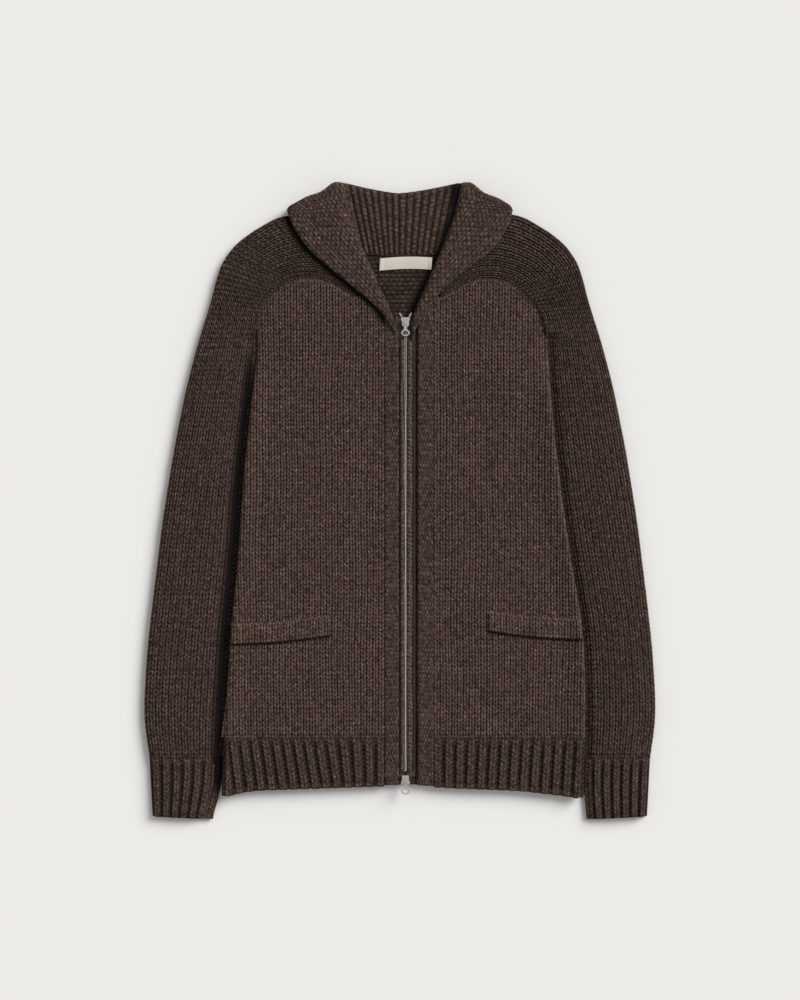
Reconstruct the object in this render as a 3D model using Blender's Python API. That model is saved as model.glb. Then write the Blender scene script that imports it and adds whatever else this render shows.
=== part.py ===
"""Cowichan cardigan, laid flat with its zip closed.

Bulky wool knit, front side up: a back panel, two fronts with ribbed hems and moss-stitch zip bands,
two saddle-shoulder sleeves with ribbed cuffs, a three-part shawl collar, pocket welts and a two-way zip.
Lengths are in millimetres until a mesh is made. X runs across the chest towards the wearer's left,
Y from hem to collar and Z up from the floor. "Right" and "left" are the wearer's: right is -X.
"""

import bpy
import numpy as np

MM = 0.001  # metres in a millimetre
WALL = 5.0  # thickness of the bulky knit
LAYER_GAP = 0.8  # air between the back and the fronts laid on it
SEAM_GAP = 0.4  # space kept between two pieces at a seam
FLAT_HEIGHT = 2 * WALL + LAYER_GAP  # front and back together
SEAM_HEIGHT = FLAT_HEIGHT / 2  # the side seams run half way up

HEM_Y = -327.0  # bottom edge at the zip
RIB_TOP_Y = -272.0  # where the hem rib meets the panels
CUFF_TOP_Y = -295.0
CUFF_END_Y = -364.0
NECK_SEAM_Y = 288.0

ZIP_X = 7.5
BAND_BOTTOM_Z = 8.0
BAND_TOP_Z = 12.6

LIFT = 5.5  # the body's side edges ride up beside the sleeves
LIFT_REACH = 28.0
PUFF = 2.2  # how far the top layer crowns above the pressed height

# y, side seam x on the wearer's right, side seam x on the left
SIDE_SEAM = np.array([
    (-345, -205, 212),
    (-241, -199, 215),
    (-149, -193, 212),
    (-57, -184, 196),
    (35, -178, 183),
    (127, -168, 174),
    (198, -161, 170),
    (240, -158, 160),
])

# How far the hem drops below HEM_Y: x, drop
HEM_DROP = np.array([
    (-206, 14),
    (-170, 6),
    (-98, 3.5),
    (8, 0),
    (71, 3.5),
    (139, 6),
    (190, 12),
    (215, 16),
])

# The armhole, from the underarm to the neck, on the front and on the back: |x|, y, |x|, y.
# The last two numbers are the shoulder fold opposite, where the sleeve's outline turns over.
ARMHOLE = np.array([
    # front x, front y, back x, back y, fold x, fold y
    (161, 198, 161, 198, 226, 196),
    (158, 221, 158, 221, 217, 224),
    (151, 233, 151, 233, 212, 244),
    (141, 242, 141, 242, 208, 262),
    (128, 250, 128, 250, 199, 282),
    (111, 254, 111, 256, 180, 302),
    (94, 254, 95, 264, 157, 316),
    (78, 249, 80, 274, 131, 329),
    (62, 240, 66, 286, 92, 321),
])

# The sleeve below the underarm: y, |x| of its outer fold
SLEEVE_FOLD = np.array([
    (-364, 285),
    (-335, 286.5),
    (-295, 287),
    (-262, 292),
    (-235, 293),
    (-170, 289),
    (-100, 281),
    (-20, 271),
    (60, 258),
    (130, 244),
    (175, 232),
    (196, 226),
])

# The fold-over front of the collar: y, inner and outer edge on the right, inner and outer on the left
LAPEL = np.array([
    (183, -1.0, -4.5, 12.8, 17),
    (201, -2.5, -10, 13.2, 20),
    (221, -10.4, -23, 18.4, 33),
    (243, -20.7, -50, 28.8, 51),
    (267, -31, -79.5, 39, 81),
    (288, -40.3, -104, 48.3, 108),
    (313, -49.5, -121, 57.5, 125),
    (333, -56.4, -129, 65, 131),
])

# The neck opening's front seam, from the armhole's end down to the band: |x|, y
NECKLINE = np.array([
    (52, 236),
    (44, 231),
])
# The moss-stitch bands: outer x, inner x, y of the slanted top end at each
BAND_RIGHT = (-16.5, 0.3, 207, 192)
BAND_LEFT = (40.0, 21.3, 226, 204)
# The rolled facing edges that flank the teeth: outer x, inner x
CORD_RIGHT = (0.9, 5.9)
CORD_LEFT = (20.7, 9.5)
CORD_ENDS_Y = (-310.0, 184.0)

# Distances in from a side seam where the panels have a column of vertices
EDGE_STEPS = np.array([0, 0.9, 2.6, 5.4, 10, 17, 28.0])
PANEL_ROWS = 13
UPPER_ROWS = 4

WOOL = (0.058, 0.038, 0.030)
WOOL_RIB = (0.043, 0.028, 0.023)
WOOL_COLLAR = (0.055, 0.036, 0.029)
LABEL_CREAM = (0.72, 0.68, 0.58)
TAPE_BROWN = (0.035, 0.024, 0.020)
NICKEL = (0.62, 0.60, 0.57)


def smooth(t):
    """0 below 0, 1 above 1 and 3t^2 - 2t^3 between."""
    t = np.clip(t, 0, 1)
    return t * t * (3 - 2 * t)


def fabric(name, colour, metallic=0.0, roughness=0.9):
    """A Principled material of one colour."""
    material = bpy.data.materials.new(name)
    material.use_nodes = True
    shader = material.node_tree.nodes["Principled BSDF"]
    shader.inputs["Base Color"].default_value = (*colour, 1)
    shader.inputs["Metallic"].default_value = metallic
    shader.inputs["Roughness"].default_value = roughness
    return material


def add_solid(name, points, faces, colour, metallic=0.0, roughness=0.9):
    """One closed mesh object from points in millimetres, its faces turned to face out."""
    mesh = bpy.data.meshes.new(name)
    mesh.from_pydata((points * MM).tolist(), [], faces.tolist())
    mesh.calc_loop_triangles()
    corners = np.array([triangle.vertices[:] for triangle in mesh.loop_triangles])
    if np.linalg.det(points[corners]).sum() < 0:
        mesh.flip_normals()
    mesh.materials.append(fabric(name, colour, metallic, roughness))
    solid = bpy.data.objects.new(name, mesh)
    bpy.context.scene.collection.objects.link(solid)
    return solid


def grid_solid(name, upper, lower, colour, metallic=0.0, roughness=0.9):
    """The closed body between two grids of points of one shape (rows, columns, 3), with a rim all round."""
    rows, columns = upper.shape[:2]
    index = np.arange(rows * columns).reshape(rows, columns)
    a, b, c, d = index[:-1, :-1], index[:-1, 1:], index[1:, 1:], index[1:, :-1]
    sheet = np.stack([a, b, c, d], axis=-1).reshape(-1, 4)
    rim = np.concatenate([index[0], index[1:, -1], index[-1, -2::-1], index[-2:0:-1, 0]])
    after = np.roll(rim, -1)
    under = rows * columns
    walls = np.stack([after, rim, rim + under, after + under], axis=-1)
    faces = np.concatenate([sheet, sheet[:, ::-1] + under, walls])
    points = np.concatenate([upper.reshape(-1, 3), lower.reshape(-1, 3)])
    return add_solid(name, points, faces, colour, metallic, roughness)


def slab(name, plan, bottom, top, colour, metallic=0.0, roughness=0.9):
    """A body between two heights over a grid of plan points (rows, columns, 2)."""
    upper = np.concatenate([plan, np.broadcast_to(top, plan.shape[:2])[..., None]], axis=-1)
    lower = np.concatenate([plan, np.broadcast_to(bottom, plan.shape[:2])[..., None]], axis=-1)
    return grid_solid(name, upper, lower, colour, metallic, roughness)


def side_x(y, side):
    """The side seam's x at height y: side is -1 on the wearer's right and 1 on the left."""
    return np.interp(y, SIDE_SEAM[:, 0], SIDE_SEAM[:, 1 if side < 0 else 2])


def hem_y(x):
    """The hem's y at x: lowest at the side seams."""
    return HEM_Y - np.interp(x, HEM_DROP[:, 0], HEM_DROP[:, 1])


def armhole(side, columns):
    """The armhole points in the two named columns of ARMHOLE, on one side."""
    points = ARMHOLE[:, columns] * (side, 1)
    # the left underarm lies a little further out than the right one
    points[:, 0] += np.where(side > 0, [9, 4, 1, 0, 0, 0, 0, 0, 0], 0)
    return points


def edge_lift(y, distance):
    """How far a body panel rises beside a sleeve, at a distance in from its side seam."""
    return LIFT * smooth((175 - y) / 60) * (1 - smooth(distance / LIFT_REACH))


def rounding(distance, radius, depth):
    """How far a quarter-round edge has dropped at a distance in from the edge."""
    inside = np.clip(1 - distance / radius, 0, 1)
    return depth * (1 - np.sqrt(1 - inside**2))


def edge_drop(y, distance):
    """The quarter round that brings a panel's outer face to the side seam; none above the underarm."""
    return smooth((188 - y) / 14) * rounding(distance, SEAM_HEIGHT, SEAM_HEIGHT - 0.8)


def front_heights(x, y, side):
    """Bottom and top of a front layer, from its side seam to the zip band."""
    distance = np.abs(side_x(y, side) - x)
    lift = edge_lift(y, distance)
    crown = PUFF * smooth(distance / 45) * (1 - 0.35 * smooth((60 - np.abs(x - ZIP_X)) / 45))
    top = FLAT_HEIGHT + lift + crown - edge_drop(y, distance)
    return np.maximum(top - WALL, SEAM_HEIGHT + SEAM_GAP / 2 + lift), top


def back_heights(x, y):
    """Bottom and top of the back layer, between its two side seams."""
    distance = np.minimum(x - side_x(y, -1), side_x(y, 1) - x)
    lift = edge_lift(y, distance)
    bottom = lift + edge_drop(y, distance)
    return bottom, np.minimum(bottom + WALL, SEAM_HEIGHT - SEAM_GAP / 2 + lift)


def panel_plan(lower_y, columns_x, top):
    """Plan points of a panel: straight rows up to the underarm, then ruled on to its top boundary.

    lower_y holds the rows' heights, columns_x(y) a row's x values and top the boundary's points.
    """
    rows = [np.stack([columns_x(y), np.full(len(top), y)], axis=-1) for y in lower_y]
    last = rows[-1]
    rows += [last + (top - last) * t for t in np.linspace(0, 1, UPPER_ROWS + 1)[1:]]
    return np.array(rows)


def front_columns(y, side, band_x, count):
    """A front's x values at height y: closely spaced by the side seam, then even on to the band."""
    seam = side_x(y, side)
    inward = seam - side * EDGE_STEPS
    rest = np.linspace(inward[-1], band_x, count - len(EDGE_STEPS) + 1)[1:]
    return np.concatenate([inward, rest])


PANEL_Y = np.linspace(RIB_TOP_Y + SEAM_GAP, 190, PANEL_ROWS)


def front_top(side, band):
    """A front's top boundary: the armhole, the neck seam, then down to the zip band."""
    neck = NECKLINE * (side, 1)
    end = np.array([(band[0] + side * SEAM_GAP, band[2] + 3)])
    middle = (neck[-1] + end) / 2
    return np.concatenate([armhole(side, [0, 1]), neck, middle, end])


def make_front(name, side, band):
    """One front, from the hem rib's top to the armhole and neck, and from side seam to zip band."""
    top = front_top(side, band)
    edge = band[0] + side * SEAM_GAP
    plan = panel_plan(PANEL_Y, lambda y: front_columns(y, side, edge, len(top)), top)
    bottom, upper = front_heights(plan[..., 0], plan[..., 1], side)
    slab(name, plan, bottom, upper, WOOL)


def back_columns(y, count):
    """The back's x values at height y: closely spaced by both side seams."""
    right, left = side_x(y, -1), side_x(y, 1)
    middle = np.linspace(right + EDGE_STEPS[-1], left - EDGE_STEPS[-1], count - 2 * len(EDGE_STEPS) + 2)
    return np.concatenate([right + EDGE_STEPS, middle[1:-1], left - EDGE_STEPS[::-1]])


def make_back():
    """The back panel, from the hem rib's top to the armholes and the neck seam."""
    neck = np.array([(x, NECK_SEAM_Y - SEAM_GAP) for x in (-52, -26, 0, 26, 52)])
    top = np.concatenate([armhole(-1, [2, 3]), neck, armhole(1, [2, 3])[::-1]])
    plan = panel_plan(PANEL_Y, lambda y: back_columns(y, len(top)), top)
    bottom, upper = back_heights(plan[..., 0], plan[..., 1])
    slab("back_panel", plan, bottom, upper, WOOL)


RIB_ROWS = 4


def rib_plan(columns_x):
    """Plan points of a hem rib, from the hem's curved edge up to the panels."""
    rows = []
    for t in np.linspace(0, 1, RIB_ROWS):
        x = columns_x(RIB_TOP_Y * t + (HEM_Y - 8) * (1 - t))
        rows.append(np.stack([x, hem_y(x) * (1 - t) + RIB_TOP_Y * t], axis=-1))
    return np.array(rows)


def make_ribs():
    """The hem rib under each front, and the one under the back."""
    for name, side, band in (("rib_right", -1, BAND_RIGHT), ("rib_left", 1, BAND_LEFT)):
        edge = band[0] + side * SEAM_GAP
        plan = rib_plan(lambda y: front_columns(y, side, edge, 12))
        bottom, upper = front_heights(plan[..., 0], plan[..., 1], side)
        slab(name, plan, bottom, upper, WOOL_RIB)
    plan = rib_plan(lambda y: back_columns(y, 19))
    bottom, upper = back_heights(plan[..., 0], plan[..., 1])
    slab("rib_back", plan, bottom, upper, WOOL_RIB)


# A sleeve's cross-section, starting at its inner edge under the arm: the layer (0 back, 1 front),
# the share of the width and the distance added to it on the outer face, that face's height, the
# inner face's added distance and height, and whether the point belongs to the under-seam's curl.
SLEEVE_SECTION = np.array([
    # layer, share, outer d, outer z, inner d, inner z, curl
    (0, 0, 0.4, 4.7, 5.0, 5.1, 1),
    (0, 0, 1.2, 2.2, 5.2, 5.05, 1),
    (0, 0, 3.0, 0.6, 5.6, 5.0, 1),
    (0, 0, 6.5, 0.0, 7.0, 5.0, 1),
    (0, 0.33, 0, 0.0, 0, 5.0, 0),
    (0, 0.66, 0, 0.0, 0, 5.0, 0),
    (0, 1, -6.0, 0.0, -6.0, 5.0, 0),
    (0, 1, -2.0, 1.2, -5.3, 5.1, 0),
    (0, 1, -0.3, 3.6, -5.0, 5.3, 0),
    (1, 1, -0.3, 7.2, -5.0, 5.5, 0),
    (1, 1, -2.0, 9.6, -5.3, 5.7, 0),
    (1, 1, -6.0, 10.8, -6.0, 5.8, 0),
    (1, 0.8, 0, 10.8, 0, 5.8, 0),
    (1, 0.5, 0, 10.8, 0, 5.8, 0),
    (1, 0.25, 0, 10.8, 0, 5.8, 0),
    (1, 0, 6.5, 10.8, 7.0, 5.8, 1),
    (1, 0, 3.0, 10.2, 5.6, 5.75, 1),
    (1, 0, 1.2, 8.6, 5.2, 5.7, 1),
    (1, 0, 0.4, 5.9, 5.0, 5.6, 1),
])


def sleeve_stations(side):
    """Plan points of a sleeve's cross-sections: front inner, back inner and outer fold, cuff top first."""
    y = np.array([CUFF_TOP_Y + SEAM_GAP, -262, -235, -190, -135, -80, -20, 40, 100, 150, 186])
    inner = np.stack([side_x(y, side) + side * 0.3, y], axis=-1)
    fold = np.stack([side * np.interp(y, SLEEVE_FOLD[:, 0], SLEEVE_FOLD[:, 1]), y], axis=-1)
    top_fold = ARMHOLE[:, [4, 5]] * (side, 1)
    return (
        np.concatenate([inner, armhole(side, [0, 1])]),
        np.concatenate([inner, armhole(side, [2, 3])]),
        np.concatenate([fold, top_fold]),
    )


def tube(name, front, back, fold, colour, crown=PUFF):
    """A pressed sleeve or cuff: one wall, open along its inner edge by the width of a seam."""
    layer, share, outer_d, outer_z, inner_d, inner_z, curled = SLEEVE_SECTION.T
    start = np.where(layer[:, None] > 0, front[:, None], back[:, None])
    reach = fold[:, None] - start
    width = np.linalg.norm(reach, axis=-1, keepdims=True)
    # the seam's ends turn towards each other below the underarm and lie flat above it
    flat = curled * smooth((front[:, 1:] - 186) / 12)
    skins = []
    for along, height, pressed in ((outer_d, outer_z, layer * FLAT_HEIGHT), (inner_d, inner_z, None)):
        level = np.where(layer > 0, FLAT_HEIGHT - WALL, WALL) if pressed is None else pressed
        step = along * (1 - flat) + (outer_d + SEAM_GAP) * flat
        share_of = share + step / width[..., 0]
        plan = start + reach * share_of[..., None]
        depth = share_of * width[..., 0]
        rise = crown * smooth(depth / 40) * smooth((width[..., 0] - depth) / 25) * (layer > 0)
        z = height * (1 - flat) + level * flat + rise
        # the seam with a front meets it at the front's own crowned height
        z = z + flat * (layer > 0) * (crown * smooth((front[:, 1:] - 198) / 30) - rise)
        skins.append(np.concatenate([plan, z[..., None]], axis=-1))
    grid_solid(name, skins[0], skins[1], colour)


def make_sleeve(side_name, side):
    """A saddle-shoulder sleeve and its ribbed cuff."""
    tube(f"sleeve_{side_name}", *sleeve_stations(side), WOOL)
    y = np.linspace(CUFF_END_Y, CUFF_TOP_Y, 5)
    # the opening's inner corner is drawn in a little and hangs lower
    turn = smooth((-325 - y) / 40)
    inner = np.stack([side_x(y, side) + side * (0.3 + 6 * turn), y - 3.5 * turn], axis=-1)
    fold = np.stack([side * np.interp(y, SLEEVE_FOLD[:, 0], SLEEVE_FOLD[:, 1]), y], axis=-1)
    tube(f"cuff_{side_name}", inner, inner, fold, WOOL_RIB, crown=1.2)


def shawl_under(y):
    """|x| of the line inside which nothing but the back lies under the front of the collar."""
    return np.interp(y, [190, 207, 231, 236, 240, 321], [6, 20, 44, 52, 62, 92])


LAPEL_STEPS = np.array([0, 0.8, 2.6, 6.0])  # columns of vertices in from the fold and the outer edge
LAPEL_BOTTOM_Z = 13.3
LAPEL_TOP_Z = 18.8
STAND_BOTTOM_Z = 5.5
FLOOR_GAP = 0.3


def make_lapel(name, side):
    """One front of the shawl collar: the fall folded over the stand, sharing one rounded body."""
    y, inner, outer = LAPEL[:, [0, 1, 2]].T if side < 0 else LAPEL[:, [0, 3, 4]].T
    extra = np.array([228.0, 238.0, 255.0, 300.0, 322.0, 330.8])
    station_y = np.sort(np.concatenate([y, extra]))
    inner, outer = np.interp(station_y, y, inner), np.interp(station_y, y, outer)
    start = np.stack([inner, station_y], axis=-1)
    end = np.stack([outer, station_y], axis=-1)
    # the last three sections swing up to the edge between the peak and the outer corner
    peak = np.array([(inner[-1] + side * 2, 344), (inner[-1] + side * 5, 356), (inner[-1] + side * 8, 365)])
    corner = np.array([(outer[-1], 334.5), (outer[-1], 336), (outer[-1] + side * 0.3, 338)])
    start, end = np.concatenate([start, peak]), np.concatenate([end, corner])
    reach = end - start
    width = np.linalg.norm(reach, axis=-1)
    under = np.abs(side * shawl_under(start[:, 1]) - start[:, 0])
    free = start[:, 1] > 331
    share = np.empty((len(start), 12))
    edge = np.minimum(1, width / 16)[:, None]
    share[:, :4] = LAPEL_STEPS * edge / width[:, None]
    share[:, 8:] = 1 - LAPEL_STEPS[::-1] * edge / width[:, None]
    seam = np.clip(under / width, share[:, 3] + 2 / width * edge[:, 0], share[:, 8] - 3 / width * edge[:, 0])
    share[:, 4] = seam - 1.5 / width * edge[:, 0]
    share[:, 5] = seam - 0.6 / width * edge[:, 0]
    share[:, 6] = share[:, 5] + (share[:, 8] - share[:, 5]) / 3
    share[:, 7] = share[:, 5] + (share[:, 8] - share[:, 5]) * 2 / 3
    plan = start[:, None] + reach[:, None] * share[..., None]
    depth = share * width[:, None]
    # the peak stands out from the straight line to the corner
    bulge = 5.0 * np.exp(-(((depth - 12) / 14) ** 2)) * (np.arange(len(start)) == len(start) - 1)[:, None]
    plan[..., 1] += bulge
    top = LAPEL_TOP_Z - rounding(depth, 7, 5.5) - rounding(width[:, None] - depth, 4.5, 2.6)
    rows_left = (len(start) - 1 - np.arange(len(start)))[:, None]
    top = top - np.select([rows_left == 0, rows_left == 1], [5.0, 1.2], 0)
    inside = np.arange(12) < 5
    bottom = np.where(inside, STAND_BOTTOM_Z, LAPEL_BOTTOM_Z) * np.ones_like(top)
    # low down the band and the rolled edge run right under the fold
    low = (start[:, 1] < 236)[:, None]
    bottom = np.where(low, LAPEL_BOTTOM_Z, bottom)
    bottom = np.where(free[:, None], FLOOR_GAP, bottom)
    slab(name, plan, bottom, np.maximum(top, bottom + 0.9), WOOL_COLLAR)


def make_collar_back():
    """The back of the collar: the stand laid flat above its own fall, sharing one rounded body."""
    rows, columns = 8, 15
    across = np.linspace(-1, 1, columns)
    low_x = across * np.where(across < 0, 38.5, 46.5)
    high_x = across * np.where(across < 0, 61.5, 69.0)
    edge_y = 356.5 + 9.5 * np.abs(across) ** 1.5
    share = np.array([0, 0.06, 0.25, 0.5, 0.75, 0.9, 0.97, 1.0])
    low_y = NECK_SEAM_Y + 0.4 + 4 * np.abs(across) ** 2
    x = low_x + (high_x - low_x) * share[:, None]
    y = low_y + (edge_y - low_y) * share[:, None]
    plan = np.stack([x, y], axis=-1)
    to_fold = edge_y - y
    top = 10.9 - rounding(to_fold, 6, 4.5) - rounding(y - low_y, 5, 1.5)
    bottom = FLOOR_GAP + rounding(to_fold, 6, 4.5)
    slab("collar_back", plan[:rows], bottom, top, WOOL_COLLAR)


def make_band(name, band, cord):
    """A moss-stitch zip band with its rolled facing edge beside the teeth."""
    outer, inner, outer_end, inner_end = band
    side = np.sign(outer - ZIP_X)
    share = np.array([0, 0.5, 1.0])
    x = outer + (inner - outer) * share
    start, end = hem_y(x), outer_end + (inner_end - outer_end) * share
    along = np.linspace(0, 1, 12)[:, None]
    plan = np.stack([np.broadcast_to(x, (12, 3)), start + (end - start) * along], axis=-1)
    slab(name, plan, BAND_BOTTOM_Z, BAND_TOP_Z, WOOL_RIB)
    x = cord[0] + (cord[1] - cord[0]) * np.linspace(0, 1, 5)
    y = np.linspace(*CORD_ENDS_Y, 10)
    plan = np.stack(np.broadcast_arrays(x, y[:, None]), axis=-1)
    top = BAND_TOP_Z - 2.2 * np.linspace(-1, 1, 5) ** 4
    slab(name.replace("band", "edge_roll"), plan, BAND_BOTTOM_Z, top, WOOL_RIB)
    tape_y = np.array([-318, -300, 203, 207, 213])
    opening = np.array([0.6, 0.6, 0.6, 2.0, 3.4])
    x = np.stack([ZIP_X + side * opening, np.full(5, ZIP_X + side * 11.5)], axis=-1)
    plan = np.stack([x, np.broadcast_to(tape_y[:, None], (5, 2))], axis=-1)
    slab(name.replace("band", "zip_tape"), plan, 6.8, 7.5, TAPE_BROWN)


def make_welt(name, side, near_x, far_y, near_y, height):
    """A pocket's knitted welt, made from the front's own surface moved out."""
    count = 14
    far_x = side_x(far_y, side) - side * 1.0
    share = np.concatenate([[0, 0.012, 0.035, 0.07], np.linspace(0.14, 1, count - 4)])
    x = far_x + (near_x - far_x) * share
    low = far_y + (near_y - far_y) * share
    up = np.array([0, 0.06, 0.5, 0.94, 1.0])[:, None]
    plan = np.stack([np.broadcast_to(x, (5, count)), low + height * up], axis=-1)
    surface = front_heights(plan[..., 0], plan[..., 1], side)[1]
    edge = np.minimum(np.minimum(up, 1 - up) * height, np.abs(x - near_x))
    slab(name, plan, surface + 0.7, surface + 4.2 - rounding(edge, 2.5, 1.8), WOOL)


def box_points(low, high):
    """The eight corners of a box and its six faces."""
    corners = np.array([[x, y, z] for z in (low[2], high[2]) for x, y in (
        (low[0], low[1]), (high[0], low[1]), (high[0], high[1]), (low[0], high[1]))])
    faces = np.array([(3, 2, 1, 0), (4, 5, 6, 7), (0, 1, 5, 4), (1, 2, 6, 5), (2, 3, 7, 6), (3, 0, 4, 7)])
    return corners, faces


def plate(name, outline, low_z, high_z, centre_x=0.0, centre_y=0.0):
    """A flat metal plate between two heights, from a closed outline of x and y about a centre."""
    count = len(outline)
    ring = outline + (centre_x, centre_y)
    return add_prism(name, [np.column_stack([ring, np.full(count, z)]) for z in (low_z, high_z)])


def side_profile(name, outline, half_x, centre_x):
    """A metal body with a profile in Y and Z, a closed outline of points, and a width along X."""
    count = len(outline)
    sides = centre_x + np.array([-half_x, half_x])
    return add_prism(name, [np.column_stack([np.full(count, x), outline]) for x in sides])


def add_prism(name, ends):
    """The closed metal body between two copies of one outline, its faces turned to face out."""
    count = len(ends[0])
    index = list(range(count))
    faces = [index[::-1], [i + count for i in index]]
    faces += [[i, (i + 1) % count, (i + 1) % count + count, i + count] for i in index]
    points = np.concatenate(ends)
    mesh = bpy.data.meshes.new(name)
    mesh.from_pydata((points * MM).tolist(), [], faces)
    mesh.calc_loop_triangles()
    corners = np.array([triangle.vertices[:] for triangle in mesh.loop_triangles])
    if np.linalg.det(points[corners] - points[0]).sum() < 0:
        mesh.flip_normals()
    mesh.materials.append(fabric(name, NICKEL, 1.0, 0.35))
    solid = bpy.data.objects.new(name, mesh)
    bpy.context.scene.collection.objects.link(solid)
    return solid


def combine(first, others, operation):
    """Unites bodies with the first one, or cuts them from it, with exact booleans."""
    for other in others:
        step = first.modifiers.new(operation.lower(), "BOOLEAN")
        step.operation = operation
        step.solver = "EXACT"
        step.object = other
        other.hide_render = True
        other.hide_viewport = True
    return first


SLIDER_TOP_Z = 13.9  # top face of a slider's upper plate
HINGE_Z = SLIDER_TOP_Z + 1.1
PULL_THICK = 1.2
# A slider's plate about its centre, wide where the two rows of teeth come apart: x, y
SLIDER_PLATE = np.array([
    (-3.3, -5.0),
    (3.3, -5.0),
    (3.9, -3.9),
    (4.1, 0.5),
    (5.3, 3.6),
    (4.6, 5.0),
    (-4.6, 5.0),
    (-5.3, 3.6),
    (-4.1, 0.5),
    (-3.9, -3.9),
])


def block(name, low, high, colour=NICKEL, metallic=1.0, roughness=0.35):
    """A box between two corners."""
    points, faces = box_points(low, high)
    return add_solid(name, points, faces, colour, metallic, roughness)


def make_slider(name, centre_y, hinge_y, open_end):
    """A slider: two plates joined by a web where the teeth part, with an arch for its pull on top.

    open_end is 1 where the teeth part above it and -1 where they part below it.
    """
    outline = SLIDER_PLATE * (1, open_end)
    upper = plate(name, outline, SLIDER_TOP_Z - 1.3, SLIDER_TOP_Z, ZIP_X, centre_y)
    lower = plate(name + "_lower", 0.85 * outline, 5.3, 6.4, ZIP_X, centre_y)
    web_y = centre_y + open_end * 4.2
    web_low, web_high = (ZIP_X - 1.1, web_y - 0.7, 5.8), (ZIP_X + 1.1, web_y + 0.7, SLIDER_TOP_Z - 0.5)
    web = block(name + "_web", web_low, web_high)
    # the arch over the pull's bar: distance from the hinge, height above the plate
    arch = np.array([
        (-3.2, -0.4),
        (-3.2, 2.2),
        (-2.2, 3.1),
        (2.2, 3.1),
        (3.2, 2.2),
        (3.2, -0.4),
        (2.3, -0.4),
        (2.3, 1.7),
        (1.6, 2.2),
        (-1.6, 2.2),
        (-2.3, 1.7),
        (-2.3, -0.4),
    ])
    arch = side_profile(name + "_arch", arch + (hinge_y, SLIDER_TOP_Z), 0.9, ZIP_X)
    combine(upper, [lower, web, arch], "UNION")


# A pull's outline and its two holes: half width, distance from the hinge
PULL_EDGE = np.array([
    (2.3, -0.6),
    (2.2, 4.0),
    (1.5, 6.8),
    (2.6, 8.6),
    (4.0, 9.6),
    (4.9, 11.0),
    (4.9, 12.6),
    (3.9, 14.2),
    (1.8, 15.5),
])
PULL_SLOT = np.array([
    (1.3, 0.6),
    (1.3, 4.0),
])
PULL_RING = np.array([
    (1.6, 9.6),
    (3.0, 10.8),
    (3.2, 12.6),
    (1.6, 14.2),
])


def mirrored(half):
    """A closed outline from its half at positive x, its distances turned to run towards -Y."""
    return np.concatenate([half, half[::-1] * (-1, 1)]) * (1, -1)


def make_pull(name, hinge_y):
    """A cast pull tab: a bar through the slider's arch, a waist and an oval ring, each with its hole."""
    half = PULL_THICK / 2
    body = plate(name, mirrored(PULL_EDGE), HINGE_Z - half, HINGE_Z + half, ZIP_X, hinge_y)
    holes = [
        plate(name + label, mirrored(hole), HINGE_Z - 2 * half, HINGE_Z + 2 * half, ZIP_X, hinge_y)
        for label, hole in (("_slot", PULL_SLOT), ("_ring", PULL_RING))
    ]
    combine(body, holes, "DIFFERENCE")


# The metal stop at the top of each row of teeth, leaning outwards: distance from the zip's middle, y
STOP = np.array([
    (3.3, 211.4),
    (5.0, 211.4),
    (7.6, 215.6),
    (6.2, 216.2),
])


for old in list(bpy.data.objects):
    bpy.data.objects.remove(old)

make_back()
make_front("front_right", -1, BAND_RIGHT)
make_front("front_left", 1, BAND_LEFT)
make_ribs()
make_sleeve("right", -1)
make_sleeve("left", 1)
make_collar_back()
make_lapel("lapel_right", -1)
make_lapel("lapel_left", 1)
make_band("band_right", BAND_RIGHT, CORD_RIGHT)
make_band("band_left", BAND_LEFT, CORD_LEFT)
make_welt("pocket_welt_right", -1, -79, -164, -153, 27)
make_welt("pocket_welt_left", 1, 103, -163, -152, 27)
block("neck_label", (-22, 265, 5.4), (38, 279, 6.0), LABEL_CREAM, 0.0, 0.8)
block("zip_chain", (ZIP_X - 1.4, -312, 7.8), (ZIP_X + 1.6, 198, 10.4), NICKEL, 0.8, 0.4)
make_slider("slider_top", 205.5, 204.5, 1)
make_slider("slider_bottom", -321, -322, -1)
plate("zip_stop_right", STOP * (-1, 1), 7.9, 10.2, ZIP_X)
plate("zip_stop_left", STOP, 7.9, 10.2, ZIP_X)
make_pull("pull_top", 204.5)
make_pull("pull_bottom", -322)
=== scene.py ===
# %% [markdown]
# # Cowichan cardigan, laid flat
# A bulky wool cardigan lies on a pale floor with its zip closed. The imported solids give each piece's
# size and place; this script gives each one its knitted surface. Lengths are in millimetres until a
# mesh is made. X runs across the chest towards the wearer's left, Y up to the collar and Z up from
# the floor, so "right" is -X.

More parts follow.
